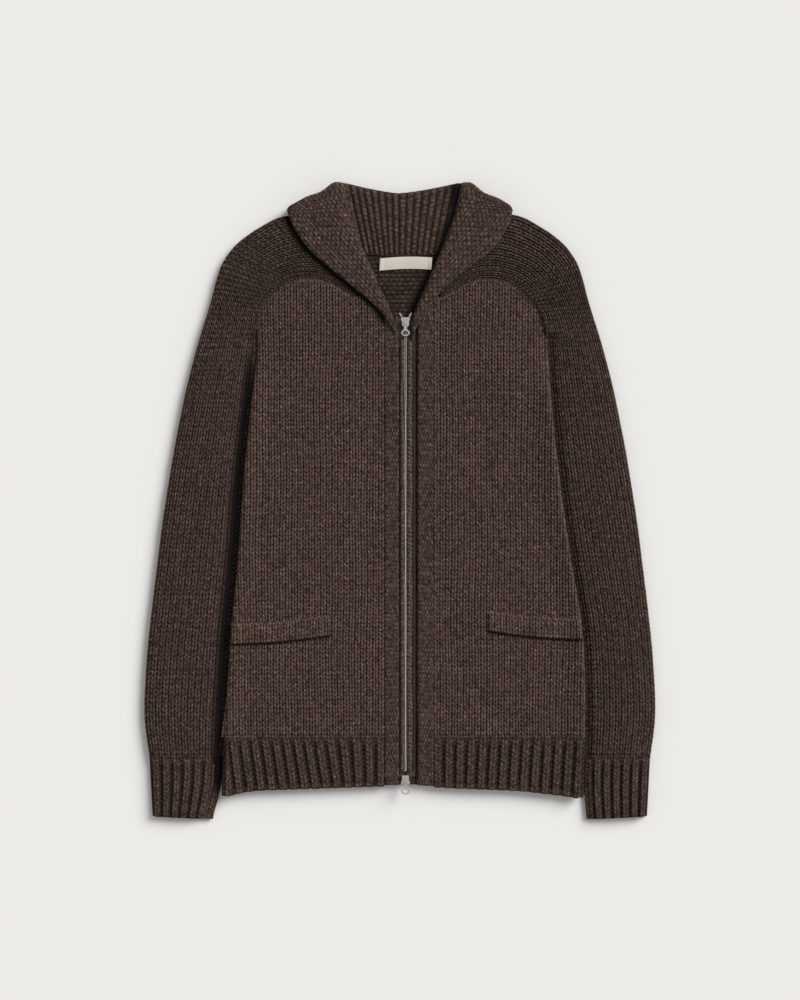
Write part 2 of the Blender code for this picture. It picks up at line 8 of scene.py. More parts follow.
import bmesh
import bpy
import numpy as np
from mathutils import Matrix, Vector


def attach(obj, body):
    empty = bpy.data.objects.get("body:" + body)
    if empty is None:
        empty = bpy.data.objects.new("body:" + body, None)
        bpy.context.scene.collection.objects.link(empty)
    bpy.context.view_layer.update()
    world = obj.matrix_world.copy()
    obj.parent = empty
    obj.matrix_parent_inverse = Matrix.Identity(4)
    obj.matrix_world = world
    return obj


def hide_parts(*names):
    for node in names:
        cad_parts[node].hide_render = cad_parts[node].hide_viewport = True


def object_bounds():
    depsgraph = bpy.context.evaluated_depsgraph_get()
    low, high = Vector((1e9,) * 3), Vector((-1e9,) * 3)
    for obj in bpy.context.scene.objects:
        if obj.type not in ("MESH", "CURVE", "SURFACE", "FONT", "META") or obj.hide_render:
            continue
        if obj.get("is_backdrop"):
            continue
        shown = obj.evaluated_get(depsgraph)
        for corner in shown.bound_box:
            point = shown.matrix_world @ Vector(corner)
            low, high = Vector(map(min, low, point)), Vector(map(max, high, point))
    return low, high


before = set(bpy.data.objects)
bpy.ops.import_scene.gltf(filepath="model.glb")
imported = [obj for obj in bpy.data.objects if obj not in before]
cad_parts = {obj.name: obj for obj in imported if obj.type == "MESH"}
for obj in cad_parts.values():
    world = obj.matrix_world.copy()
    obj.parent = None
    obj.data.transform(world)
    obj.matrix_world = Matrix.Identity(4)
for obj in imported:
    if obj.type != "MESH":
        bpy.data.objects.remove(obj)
MM = 0.001


def write_size():
    """Returns the shown object's lowest and highest corners."""
    low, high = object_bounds()
    return low, high


low, high = write_size()
print("frame box in mm:", np.round((np.array(high) - np.array(low)) * 1000, 1))

# %% [markdown]
# ## The garment's own measures
# A knitter thinks in gauge: how wide a column of stitches (a wale) is and how tall a row (a course)
# is. The same numbers space the stitches, the ribs and the pattern in the material, so the real
# relief and the painted shade always agree.

# %% Gauge and main measures
WALE, COURSE = 6.7, 4.95  # one stitch of stockinette
SLANT = 0.82  # how many courses a leg of the V climbs across half a wale
WALL, LAYER_GAP = 5.0, 0.8  # one thickness of knitting, and the air between back and front
FLAT_HEIGHT = 2 * WALL + LAYER_GAP
SEAM_HEIGHT = FLAT_HEIGHT / 2
LIFT, LIFT_REACH = 5.5, 28.0  # how far a body panel rides up beside a sleeve, and over what width
PUFF = 2.2  # how much higher the middle of a front is
HEM_Y, RIB_TOP_Y, CUFF_TOP_Y, CUFF_END_Y = -327.0, -272.0, -295.0, -364.0
UNDERARM_Y, NECK_SEAM_Y = 186.0, 288.0
ZIP_X = 7.5
print("the body lies", round(FLAT_HEIGHT, 1), "mm thick: two walls and the air between them")

# %% [markdown]
# ## The outline
# A pattern cutter draws each edge through a few measured points. The tables here hold those points,
# and the functions below them round the corners off, so every piece that meets at an edge reads the
# same line and no gap opens between them.

# %% Outline
SIDES = {-1: "right", 1: "left"}
# a zip band's outer x, inner x, and the y of its slanted top at each
BANDS = {-1: (-16.5, 0.3, 217, 194), 1: (40.0, 21.3, 234, 212)}
# y, side seam x on the right, side seam x on the left
SIDE_SEAM = np.array([(-345, -205, 212), (-241, -199, 215), (-149, -193, 212), (-57, -184, 196),
                      (35, -178, 183), (127, -168, 174), (198, -161, 170), (240, -158, 160)])
# x, how far the hem lies below its height at the zip
HEM_DROP = np.array([(-206, 14), (-170, 6), (-98, 3.5), (8, 0), (71, 3.5), (139, 6), (190, 12), (215, 16)])
# Armhole |x| and y on the front, then on the back, then the shoulder fold opposite
ARMHOLE = np.array([(161, 198, 161, 198, 226, 196), (158, 221, 158, 221, 217, 224),
                    (151, 233, 151, 233, 212, 244), (141, 242, 141, 242, 208, 262),
                    (128, 250, 128, 250, 199, 282), (111, 254, 111, 256, 180, 302),
                    (94, 254, 95, 264, 157, 316), (78, 249, 80, 274, 131, 331), (46, 231, 58, 286, 78, 318)])
# y, |x| of the sleeve's outer fold
SLEEVE_FOLD = np.array([(-364, 282.5), (-335, 284.3), (-295, 286), (-262, 292), (-235, 293), (-170, 289),
                        (-100, 281), (-20, 271), (60, 258), (130, 244), (175, 232), (196, 226)])


def smooth(t):
    """0 below 0, 1 above 1 and 3t^2 - 2t^3 between."""
    t = np.clip(t, 0, 1)
    return t * t * (3 - 2 * t)


def eased(at, steps, values, reach):
    """The table's straight pieces rounded off: its mean over nine places within reach either side."""
    offsets = np.linspace(-reach, reach, 9)
    return np.mean([np.interp(at + d, steps, values) for d in offsets], axis=0)


def side_x(y, side):
    """The side seam's x at height y, on the wearer's right (-1) or left (1)."""
    return eased(y, SIDE_SEAM[:, 0], SIDE_SEAM[:, 1 if side < 0 else 2], 22)


def hem_y(x):
    """The hem's y at x, lowest at the side seams."""
    return HEM_Y - eased(x, HEM_DROP[:, 0], HEM_DROP[:, 1], 12)


def armhole(side, columns):
    """Two columns of ARMHOLE on one side, the left underarm a little further out than the right."""
    points = ARMHOLE[:, columns] * (side, 1.0)
    points[:3, 0] += np.array([9, 4, 1]) * (side > 0)
    return points


def rounding(distance, radius, depth):
    """Quarter-round edge: depth times 1 - sqrt(1 - (1 - distance/radius)^2), and 0 past the radius."""
    inside = np.clip(1 - distance / radius, 0, 1)
    return depth * (1 - np.sqrt(1 - inside**2))


print("stitches across the back:", round((side_x(0, 1) - side_x(0, -1)) / WALE))

# %% [markdown]
# ## Small helpers for materials
# A material is a tree of nodes. Made by hand in the editor, each node is dropped in, set and linked;
# these four functions do the same in one line each, so the trees below read like formulas.


# %% Node helpers
def add_node(tree, kind, **settings):
    """A shader node with the given properties; a key such as in_2 sets that input's value."""
    made = tree.nodes.new(kind)
    for key, value in settings.items():
        if key.startswith("in_"):
            made.inputs[int(key[3:])].default_value = value
        else:
            setattr(made, key, value)
    return made


def calc(tree, operation, first, second=None, third=None):
    """A Math node's output: each operand is a number or another node's output."""
    made = add_node(tree, "ShaderNodeMath", operation=operation)
    for index, operand in enumerate((first, second, third)):
        if isinstance(operand, (int, float)):
            made.inputs[index].default_value = operand
        elif operand is not None:
            tree.links.new(operand, made.inputs[index])
    return made.outputs[0]


def mixed(tree, share, first, second):
    """A Mix node between two colours: each is an RGBA tuple or an output."""
    made = add_node(tree, "ShaderNodeMix", data_type="RGBA")
    for index, operand in ((0, share), (6, first), (7, second)):
        if isinstance(operand, (tuple, int, float)):
            made.inputs[index].default_value = operand
        else:
            tree.links.new(operand, made.inputs[index])
    return made.outputs[2]


def add_clamped(tree, value):
    """The value held between 0 and 1."""
    made = add_node(tree, "ShaderNodeClamp")
    tree.links.new(value, made.inputs[0])
    return made.outputs[0]


# %% [markdown]
# ## Yarn
# The yarn is thick, soft and barely spun, dark brown with paler hairs through it. A node group paints
# any knitted face from its own stitch map: each V is painted darker where two strands meet, as painted
# shade in the hollows, and a fine stretched noise gives the hairs. Every wool material uses the group with
# its own colours.


# %% The yarn's node group
def yarn_group():
    """Colour and height of heathered wool, from the stitch map and the relief and painted shade stored on
    the mesh.
    """
    group = bpy.data.node_groups.new("heathered yarn", "ShaderNodeTree")
    colour, number = "NodeSocketColor", "NodeSocketFloat"
    for name, kind, way in (("Deep", colour, "INPUT"), ("Body", colour, "INPUT"), ("Fleck", colour, "INPUT"),
                            ("Painted Stitch", number, "INPUT"), ("Color", colour, "OUTPUT"),
                            ("Height", number, "OUTPUT")):
        group.interface.new_socket(name, in_out=way, socket_type=kind)
    inputs, outputs = group.nodes.new("NodeGroupInput"), group.nodes.new("NodeGroupOutput")
    place = add_node(group, "ShaderNodeTexCoord").outputs["Object"]
    stitch = add_node(group, "ShaderNodeUVMap", uv_map="stitches").outputs[0]
    across = add_node(group, "ShaderNodeSeparateXYZ")
    group.links.new(stitch, across.inputs[0])
    wale, course = across.outputs[0], across.outputs[1]
    # two legs side by side, climbing SLANT courses from the middle of a wale to its edge
    column = calc(group, "POWER", calc(group, "ABSOLUTE", calc(
        group, "SINE", calc(group, "MULTIPLY", wale, np.pi))), 0.25)
    split = calc(group, "POWER", calc(group, "ABSOLUTE", calc(
        group, "SINE", calc(group, "MULTIPLY", wale, 2 * np.pi))), 0.6)
    leg = calc(group, "MULTIPLY", column, calc(group, "MULTIPLY_ADD", split, 0.8, 0.2))
    climb = calc(group, "MULTIPLY", calc(group, "ABSOLUTE", calc(
        group, "SUBTRACT", calc(group, "MULTIPLY", calc(group, "FRACT", wale), 2.0), 1.0)), SLANT)
    turn = calc(group, "ABSOLUTE", calc(group, "SINE", calc(
        group, "MULTIPLY", calc(group, "SUBTRACT", course, climb), np.pi)))
    painted = calc(group, "MULTIPLY", leg,
                   calc(group, "MULTIPLY_ADD", calc(group, "POWER", turn, 0.7), 0.72, 0.28))
    relief_and_shade = add_node(group, "ShaderNodeAttribute", attribute_name="relief_and_shade").outputs["Fac"]
    use = inputs.outputs["Painted Stitch"]
    height = calc(group, "ADD", calc(group, "MULTIPLY", painted, use),
                  calc(group, "MULTIPLY", relief_and_shade, calc(group, "SUBTRACT", 1.0, use)))
    # hairs: a fine noise stretched along the strands, and soft lighter and darker patches of fleece
    hair_place = add_node(group, "ShaderNodeMapping", in_3=(900, 420, 900))
    group.links.new(place, hair_place.inputs[0])
    hair = add_node(group, "ShaderNodeTexNoise", in_2=1.0, in_3=3.0, in_4=0.65)
    group.links.new(hair_place.outputs[0], hair.inputs[0])
    fleece = add_node(group, "ShaderNodeTexNoise", in_2=230.0, in_3=2.0, in_4=0.6)
    group.links.new(place, fleece.inputs[0])
    spread = calc(group, "MULTIPLY_ADD", fleece.outputs[0], 2.6, -0.9)
    base = mixed(group, add_clamped(group, spread), inputs.outputs["Deep"], inputs.outputs["Body"])
    flecks = add_clamped(group, calc(group, "MULTIPLY_ADD", hair.outputs[0], 5.0, -2.75))
    coloured = mixed(group, flecks, base, inputs.outputs["Fleck"])
    # painted shade: the hollows between strands, and the shade stored with the relief, turn nearly black
    shade = add_clamped(group, calc(group, "MULTIPLY_ADD", height, 1.15, -0.02))
    dark = mixed(group, 0.90, inputs.outputs["Deep"], (0.003, 0.0023, 0.002, 1))
    group.links.new(mixed(group, shade, dark, coloured), outputs.inputs["Color"])
    rough = calc(group, "MULTIPLY_ADD", hair.outputs[0], 0.5, calc(group, "MULTIPLY", painted, use))
    group.links.new(rough, outputs.inputs["Height"])
    return group


YARN = yarn_group()
print("nodes in the yarn group:", len(YARN.nodes))

# %% [markdown]
# ## Wool
# Wool is matt, with a soft sheen from the hairs that stand off it. Each panel gets the same three yarn
# colours times its own share, as painted light and shade for panels that lie at other angles: the fronts
# lighter, the ribs, the collar and the bands a little darker, and the neck, which lies in shade, much
# darker.


# %% Wool materials
def wool(name, deep, body, fleck, painted=0.0):
    """A matt wool: painted is 1 where the stitches are only drawn and 0 where they are modelled."""
    material = bpy.data.materials.new(name)
    material.use_nodes = True
    tree = material.node_tree
    shader = tree.nodes["Principled BSDF"]
    shader.inputs["Roughness"].default_value = 0.92
    shader.inputs["Specular IOR Level"].default_value = 0.11
    shader.inputs["Sheen Weight"].default_value = 0.05
    shader.inputs["Sheen Roughness"].default_value = 0.45
    yarn = add_node(tree, "ShaderNodeGroup", node_tree=YARN)
    for socket, value in (("Deep", (*deep, 1)), ("Body", (*body, 1)), ("Fleck", (*fleck, 1)),
                          ("Painted Stitch", painted)):
        yarn.inputs[socket].default_value = value
    bump = add_node(tree, "ShaderNodeBump")
    bump.inputs["Strength"].default_value = 0.85
    bump.inputs["Distance"].default_value = 0.0009
    tree.links.new(yarn.outputs["Color"], shader.inputs["Base Color"])
    tree.links.new(yarn.outputs["Height"], bump.inputs["Height"])
    tree.links.new(bump.outputs["Normal"], shader.inputs["Normal"])
    return material


BROWN = ((0.040, 0.023, 0.017), (0.150, 0.0945, 0.0765), (0.43, 0.303, 0.25))  # deep, body and fleck


def tinted(share):
    """The three yarn colours, all times share."""
    return [[share * c for c in colour] for colour in BROWN]


WOOL = wool("wool, modelled stitches", *BROWN)
WOOL_FRONT = wool("front wool, modelled stitches", *tinted(1.36))
WOOL_RIB = wool("rib wool, modelled stitches", *tinted(0.88))
WOOL_COLLAR = wool("collar wool, modelled ridges", *tinted(0.88))
WOOL_BAND = wool("band wool, modelled ridges", *tinted(0.87))
# painted shade: the neck's wool is much darker, as it lies in shade inside the V
WOOL_NECK_IN_SHADE = wool("neck wool painted in shade, modelled ridges", *tinted(0.53))
WOOL_DRAWN = wool("wool, drawn stitches", *BROWN, painted=1.0)
WOOL_RIB_DRAWN = wool("rib wool, drawn stitches", *tinted(0.88), painted=1.0)
print("wool materials:", sum("wool" in material.name for material in bpy.data.materials))

# %% [markdown]
# ## From a grid to a closed piece of knitting
# Knitting is a thick sheet. Each piece here is an outer face that carries the stitches, an inner face
# with far fewer columns, and rims that join them, so the wall has a real thickness. Vertices that a
# seam line has pushed together are welded, which trims the grid to any outline.


# %% The shell builder
PLAIN = 0.7  # the relief stored where no stitch is modelled


def shell(name, outer, inner, stitch, relief_and_shade, material, node):
    """A closed wall between an outer grid (rows, columns, 3) and an inner grid with as many rows.

    The faces are outer quads, inner quads, a rim down each side and a strip across each end that
    pairs each outer column with the inner column at the same share of the width.
    """
    rows, wide = outer.shape[:2]
    narrow = inner.shape[1]
    a = np.arange(rows * wide).reshape(rows, wide)
    b = np.arange(rows * narrow).reshape(rows, narrow) + rows * wide
    quads = [np.stack([a[:-1, :-1], a[:-1, 1:], a[1:, 1:], a[1:, :-1]], -1).reshape(-1, 4),
             np.stack([b[:-1, :-1], b[1:, :-1], b[1:, 1:], b[:-1, 1:]], -1).reshape(-1, 4),
             np.stack([b[:-1, 0], a[:-1, 0], a[1:, 0], b[1:, 0]], -1),
             np.stack([a[:-1, -1], b[:-1, -1], b[1:, -1], a[1:, -1]], -1)]
    pair = np.round(np.arange(wide) * (narrow - 1) / (wide - 1)).astype(int)
    ends = np.arange(2 * wide).reshape(2, wide) + rows * (wide + narrow)
    for row, strip, order in ((0, ends[0], 1), (rows - 1, ends[1], -1)):
        quads.append(np.stack([a[row, 1:], a[row, :-1], strip[:-1], strip[1:]], -1)[:, ::order])
    faces = np.concatenate(quads)
    points = np.concatenate([outer.reshape(-1, 3), inner.reshape(-1, 3), inner[0, pair], inner[-1, pair]])
    columns = np.round(np.linspace(0, wide - 1, narrow)).astype(int)
    maps = np.concatenate([stitch.reshape(-1, 2), stitch[:, columns].reshape(-1, 2), stitch[0], stitch[-1]])
    relief_and_shade_values = np.concatenate([relief_and_shade.reshape(-1), np.full(len(points) - rows * wide, PLAIN)])
    return piece(name, points * MM, faces, maps, relief_and_shade_values, material, node)


def piece(name, points, faces, maps, relief_and_shade_values, material, node):
    """Makes the mesh, welds what a seam line pushed together and turns its faces out."""
    mesh = bpy.data.meshes.new(name)
    mesh.vertices.add(len(points))
    mesh.vertices.foreach_set("co", points.reshape(-1))
    mesh.loops.add(faces.size)
    mesh.loops.foreach_set("vertex_index", faces.reshape(-1))
    mesh.polygons.add(len(faces))
    mesh.polygons.foreach_set("loop_start", np.arange(0, faces.size, 4))
    mesh.update(calc_edges=True)
    layer = mesh.uv_layers.new(name="stitches")
    layer.data.foreach_set("uv", maps[faces.reshape(-1)].reshape(-1))
    # the relief and painted shade that the wool's colour reads
    mesh.attributes.new("relief_and_shade", "FLOAT", "POINT").data.foreach_set("value", relief_and_shade_values)
    work = bmesh.new()
    work.from_mesh(mesh)
    bmesh.ops.remove_doubles(work, verts=work.verts, dist=0.02 * MM)
    if work.calc_volume(signed=True) < 0:
        bmesh.ops.reverse_faces(work, faces=work.faces)
    work.to_mesh(mesh)
    work.free()
    mesh.validate()
    mesh.polygons.foreach_set("use_smooth", np.ones(len(mesh.polygons), bool))
    mesh.set_sharp_from_angle(angle=np.radians(65))
    mesh.materials.append(material)
    made = bpy.data.objects.new(name, mesh)
    bpy.context.scene.collection.objects.link(made)
    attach(made, "garment")
    if node:
        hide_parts(node)
    print(name, "faces:", len(mesh.polygons))
    return made

# %% [markdown]
# ## Stitches as relief
# A stockinette stitch is a V of two strands. The grid's rows are bent into the same zig-zag as the
# V's legs, so a few rows and columns for each stitch are enough to round every strand. A rib is the
# same stitch with a deep, narrow trough between each pair of wales.


# %% Stitch grids
def stitch_grid(wales, courses, across, along):
    """Wale and course numbers on a grid with so many columns a wale and rows a course.

    The third array is the place up the piece: the course plus SLANT * (|2 frac(wale) - 1| - 0.5),
    a zig-zag that dies out over the last stitch at each end.
    """
    w = np.arange(round(wales * across) + 1) / across
    c = np.arange(round(courses * along) + 1) / along
    wale, course = np.meshgrid(w, c)
    zigzag = SLANT * (np.abs(2 * (wale % 1) - 1) - 0.5)
    return wale, course, course + zigzag * smooth(np.minimum(course, c[-1] - course) / 1.2)


def uneven(wale, course, least):
    """A share from least to 1 that jumps from stitch to stitch: the fraction of a very steep sine."""
    scatter = np.sin(np.floor(wale) * 12.99 + np.floor(course) * 78.23) * 4375.85
    return least + (1 - least) * (scatter % 1)


def stockinette(wale, course):
    """Height of the strands, 0 to about 1: legs times rows times each stitch's own uneven share.

    Legs are |sin(pi wale)|^0.25 (0.2 + 0.8 |sin(2 pi wale)|^0.6), rows 0.28 + 0.72 |sin(pi course)|^0.7.
    """
    legs = np.abs(np.sin(np.pi * wale)) ** 0.25 * (0.2 + 0.8 * np.abs(np.sin(2 * np.pi * wale)) ** 0.6)
    return legs * (0.28 + 0.72 * np.abs(np.sin(np.pi * course)) ** 0.7) * uneven(wale * 2, course, 0.7)


def beads(wale, course):
    """Soft ridges across the piece, each a row of beads staggered by half from the next.

    A ridge is 0.3 + 0.7 |sin(pi course)|^0.8, a bead 0.45 + 0.55 |sin(pi (wale + stagger))|^0.8.
    """
    shifted = wale + 0.5 * (np.floor(course) % 2)
    ridge = 0.3 + 0.7 * np.abs(np.sin(np.pi * course)) ** 0.8
    return ridge * (0.45 + 0.55 * np.abs(np.sin(np.pi * shifted)) ** 0.8) * uneven(shifted, course, 0.75)


def nubs(wale, course):
    """Beads that stand more alone than those of beads.

    A ridge is 0.5 + 0.5 |sin(pi course)|^0.7, a bead 0.3 + 0.7 |sin(pi (wale + stagger))|^0.8.
    """
    shifted = wale + 0.5 * (np.floor(course) % 2)
    ridge = 0.5 + 0.5 * np.abs(np.sin(np.pi * course)) ** 0.7
    return ridge * (0.3 + 0.7 * np.abs(np.sin(np.pi * shifted)) ** 0.8) * uneven(shifted, course, 0.6)


def wander(x, y, size, seed):
    """A slow waviness from -size to size: the mean of three sines of x and y at unrelated angles."""
    angles = np.random.default_rng(seed).uniform(0, 6.28, 3)
    return size * (np.sin(x / 31 + y / 47 + angles[0]) + np.sin(y / 23 - x / 71 + angles[1])
                   + np.sin(x / 17 + y / 93 + angles[2])) / 3


print("stored relief of a plain stitch's crest:", round(float(stockinette(0.25, 0.5)), 2))

# %% [markdown]
# ## How the body lies
# The two layers lie on each other, crowned a little in the middle. Their side edges ride up beside
# the sleeves, and a few soft creases cross the fronts near the pockets and the hem.

# %% Heights of the laid body
# A crease runs straight between two places and fades at its ends: x, y, x, y, half width, depth
CREASES = np.array([(52, -92, 62, -168, 13, 1.7), (62, -168, 77, -202, 12, 2.1),
                    (77, -202, 104, -243, 13, 1.9), (104, -243, 134, -259, 11, 1.4),
                    (-79, -236, -116, -252, 11, 1.6), (-116, -252, -168, -263, 12, 1.9),
                    (-138, 150, -126, 40, 22, 0.9), (134, 60, 152, -70, 24, 1.0),
                    (-40, 120, -52, 10, 26, 0.7), (84, 150, 96, 40, 20, 0.8),
                    (166, 205, 171, 140, 7, 2.4), (-150, -40, -128, -118, 22, 1.0)])


def creased(x, y):
    """How far the creases lower the cloth: each is depth * exp(-(distance to its line / half width)^2)."""
    lowered = np.zeros_like(x)
    for x0, y0, x1, y1, half, depth in CREASES:
        length2 = (x1 - x0) ** 2 + (y1 - y0) ** 2
        along = np.clip(((x - x0) * (x1 - x0) + (y - y0) * (y1 - y0)) / length2, 0, 1)
        away2 = (x - x0 - along * (x1 - x0)) ** 2 + (y - y0 - along * (y1 - y0)) ** 2
        lowered = np.maximum(lowered, depth * np.exp(-away2 / half**2))
    return lowered


def edge_lift(y, distance):
    """How far a body panel rises beside a sleeve, at a distance in from its side seam."""
    return LIFT * smooth((175 - y) / 60) * (1 - smooth(distance / LIFT_REACH))


def edge_drop(y, distance):
    """The quarter round that brings a panel's outer face to the side seam; none above the underarm."""
    return smooth((188 - y) / 14) * rounding(distance, SEAM_HEIGHT, SEAM_HEIGHT - 0.8)


def crown(x, distance):
    """How far a front puffs up: PUFF in its middle, nothing at its side seam and 0.65 PUFF at the zip."""
    return PUFF * smooth(distance / 45) * (1 - 0.35 * smooth((60 - np.abs(x - ZIP_X)) / 45))


def front_top(x, y, side):
    """The smooth outer face of a front, before its stitches."""
    distance = np.abs(side_x(y, side) - x)
    surface = FLAT_HEIGHT + edge_lift(y, distance) + crown(x, distance) - edge_drop(y, distance)
    return surface + 0.35 - creased(x, y) + wander(x, y, 0.35, 3) * smooth(distance / 30)


def front_under(x, y, side):
    """The inner face of a front, one wall below its outer one and never below the side seam."""
    distance = np.abs(side_x(y, side) - x)
    lift = edge_lift(y, distance)
    surface = FLAT_HEIGHT + lift + crown(x, distance) - edge_drop(y, distance) - WALL
    return np.maximum(surface - 0.8 * creased(x, y), SEAM_HEIGHT + 0.2 + lift - 0.5 * creased(x, y))


print("a front's middle lies at mm:", round(float(front_top(-90.0, 0.0, -1)), 1))

# %% [markdown]
# ## Lines that the fronts share with other pieces
# The lapels cover the fronts' upper ends, and the welts are sewn onto them. Their lines are set down
# here, before the fronts, because the lapels' shade is painted onto the cloth beside them and the cloth
# under a welt is pulled in by the sewing and painted dark in its furrow.

# %% Lapel and welt lines
# y, inner fold and outer edge x of the lapel on the right, then on the left
LAPEL = np.array([(183, -1.0, -4.5, 12.8, 17), (201, -2.5, -10, 13.2, 20), (221, -10.4, -23, 18.4, 33),
                  (243, -20.7, -50, 28.8, 51), (267, -31, -79.5, 39, 81), (288, -40.3, -104, 48.3, 108),
                  (313, -49.5, -121, 57.5, 125), (333, -56.4, -129, 65, 131)])


def painted_lapel_shadow(x, y):
    """The painted shadow just outside the right lapel's edge: full for 2 mm, then exp(-(distance / 3)^2)."""
    away = np.maximum((np.interp(y, LAPEL[:, 0], LAPEL[:, 2]) - x) * 0.66 - 2, 0)
    return np.exp(-((away / 3) ** 2)) * smooth((y - 196) / 12)


def painted_fold_shadow(x, y):
    """The painted shadow just inside the left lapel's fold: full for 2 mm, then exp(-(distance / 6)^2)."""
    away = np.maximum(np.interp(y, LAPEL[:, 0], LAPEL[:, 3]) - x - 2, 0)
    return np.exp(-((away / 6) ** 2))


# each welt's end near the zip, x, and its lower edge's y at the side seam and at that end
WELTS = {-1: (-79, -165, -155), 1: (103, -159.5, -150)}


def welt_line(share, side):
    """The y of a welt's lower edge: it falls from its near end by 1 - (1 - share)^2 of the whole drop."""
    _, far_y, near_y = WELTS[side]
    return near_y + (far_y - near_y) * (1 - (1 - np.clip(share, 0, 1)) ** 2)


def furrow(x, y, side):
    """How far the sewn line 1.2 mm under a welt's edge is pulled in: exp(-((y - line) / 1.9)^2), in dots."""
    near_x, far_y, _ = WELTS[side]
    share = (x - near_x) / (side_x(far_y, side) - near_x)
    dots = 0.45 + 0.55 * np.abs(np.sin(np.pi * x / WALE))
    away = y - welt_line(share, side) + 1.2
    return dots * np.exp(-((away / 1.9) ** 2)) * smooth((share + 0.04) / 0.06)


lapel_widths = np.abs(LAPEL[:, [2, 4]] - LAPEL[:, [1, 3]])
print("lapels' greatest widths in mm, right and left:", lapel_widths.max(axis=0))

# %% [markdown]
# ## The two fronts
# Each front is a plain stockinette piece, knitted upwards, whose wales run parallel to the zip. The
# side seam and the armhole cut across them, so the grid's columns are held back at both lines.

# %% Fronts
FRONT_TOP_Y, FRONT_LENGTH = 256.0, 0.526  # the highest stitch in mm, the cut's length in metres


def armhole_y(x, side, band):
    """The height where a front ends at x: the armhole, then a line 4 mm inside the lapel's outer edge."""
    hole = armhole(side, [0, 1])
    neck_x = np.array([side * 43, (side * 43 + band[0]) / 2, band[0]])
    outer_x = np.abs(LAPEL[:, 2 if side < 0 else 4])
    neck = np.stack([neck_x, np.interp(np.abs(neck_x), outer_x, LAPEL[:, 0]) + 4], -1)
    line = np.concatenate([hole, neck])
    line = line[np.argsort(line[:, 0])]
    return eased(x, line[:, 0], line[:, 1], 4)


def stopped(outside, *grids):
    """Each column held at its first place outside the outline from there on, as a knitter casts off."""
    first = np.where(outside.any(axis=0), outside.argmax(axis=0), len(outside) - 1)
    rows = np.minimum(np.arange(len(outside))[:, None], first)
    return [np.take_along_axis(grid, rows, axis=0) for grid in grids]


def front(side):
    """One front from the rib to the armhole, its stitches counted out from the zip band."""
    band = BANDS[side]
    width = np.abs(side_x(RIB_TOP_Y, side) - band[0])
    wale, course, place = stitch_grid(np.ceil(width / WALE), (FRONT_TOP_Y - RIB_TOP_Y) / COURSE, 6, 4)
    y = RIB_TOP_Y + 0.05 + place * COURSE
    x = band[0] + side * (0.4 + wale * WALE)
    x = x + wander(x, y, 1.3, 5) * smooth(wale / 3)
    y = y + wander(y, x, 1.5, 7) * smooth(course / 4)
    outside = (side * (x - side_x(y, side)) > 0) | (y > armhole_y(x, side, band))
    x, y, course, place, wale = stopped(outside, x, y, course, place, wale)
    edge = np.minimum(np.abs(x - side_x(y, side)), armhole_y(x, side, band) - y)
    strands = np.maximum(stockinette(wale, course + 0.5), (0.6 - 3 * wale) * np.abs(np.cos(np.pi * course)))
    height = 0.5 + (strands - 0.5) * smooth(edge / 2)
    seam = (1 - smooth(edge / 4)) * smooth((y - UNDERARM_Y) / 8)
    sewn = furrow(x, y, side)
    top = front_top(x, y, side) - 2.1 * (1 - height) - 0.7 * seam - 1.5 * sewn
    # painted shade: darker in the sewn furrow under the welt, and on the first row, where the front meets
    # the rib
    height = height * (1 - 0.85 * sewn) * (0.8 + 0.2 * smooth(course / 0.8))
    # painted shadow of the right lapel on the front
    if side < 0:
        height = height * (1 - painted_lapel_shadow(x, y))
    low = np.stack([x, y, front_under(x, y, side)], -1)[:, ::6]
    name = f"front_{SIDES[side]}"
    made = shell(f"knit_{name}", np.stack([x, y, top], -1), low, np.stack([wale, place], -1), height,
                 WOOL_FRONT, name)


for side in (-1, 1):
    front(side)

# %% [markdown]
# ## Ribbing
# Hem and cuffs are one-by-one rib: a knit wale stands up and the purl wale beside it sinks out of
# sight. The relief is one plump stockinette wale, then a narrow trough that ends at the plain knitting.

# %% Ribs under the fronts
RIB_PERIOD, KNIT_SHARE = 12.6, 0.68  # one knit and one purl wale, and the knit wale's share of them
HEM_RIB, RIB_MIDDLE_Y = 57.0, -300.0  # the rib's height before it is shaped, and the y of its middle


def rib_grid(periods, courses, across=18, along=4):
    """Grid of rib numbers and courses, the place up the piece, the strands' height and the trough in mm.

    Inside a period the knit wale takes KNIT_SHARE and a low purl ridge the rest; the trough is
    2.6 exp(-((u - 0.84) / 0.13)^2) and fills up where the rib runs into the plain knitting.
    """
    rib, course = np.meshgrid(np.arange(round(periods * across) + 1) / across,
                              np.arange(round(courses * along) + 1) / along)
    u = rib % 1
    wale = np.where(u < KNIT_SHARE, u / KNIT_SHARE, 1.0)
    zigzag = SLANT * (np.abs(2 * (wale % 1) - 1) - 0.5)
    ends = smooth(np.minimum(course, course.max() - course) / 1.2)
    ridge = np.abs(np.sin(np.pi * (u - KNIT_SHARE) / (1 - KNIT_SHARE))) ** 0.7
    purl = ridge * np.abs(np.sin(np.pi * course)) ** 0.5
    strands = np.where(u < KNIT_SHARE, 0.1 + 0.9 * stockinette(wale, course), 0.1 + 0.5 * purl)
    trough = 2.6 * np.exp(-(((u - 0.84) / 0.13) ** 2)) * smooth((course.max() - course - 0.3) / 3)
    # painted shade on the rib's last rows, where it meets the plain knitting
    strands = strands * (0.8 + 0.2 * smooth((course.max() - course) / 0.8))
    stitch = np.stack([wale + np.floor(rib), course + zigzag], -1)
    return rib, course, course + zigzag * ends, strands, trough, stitch


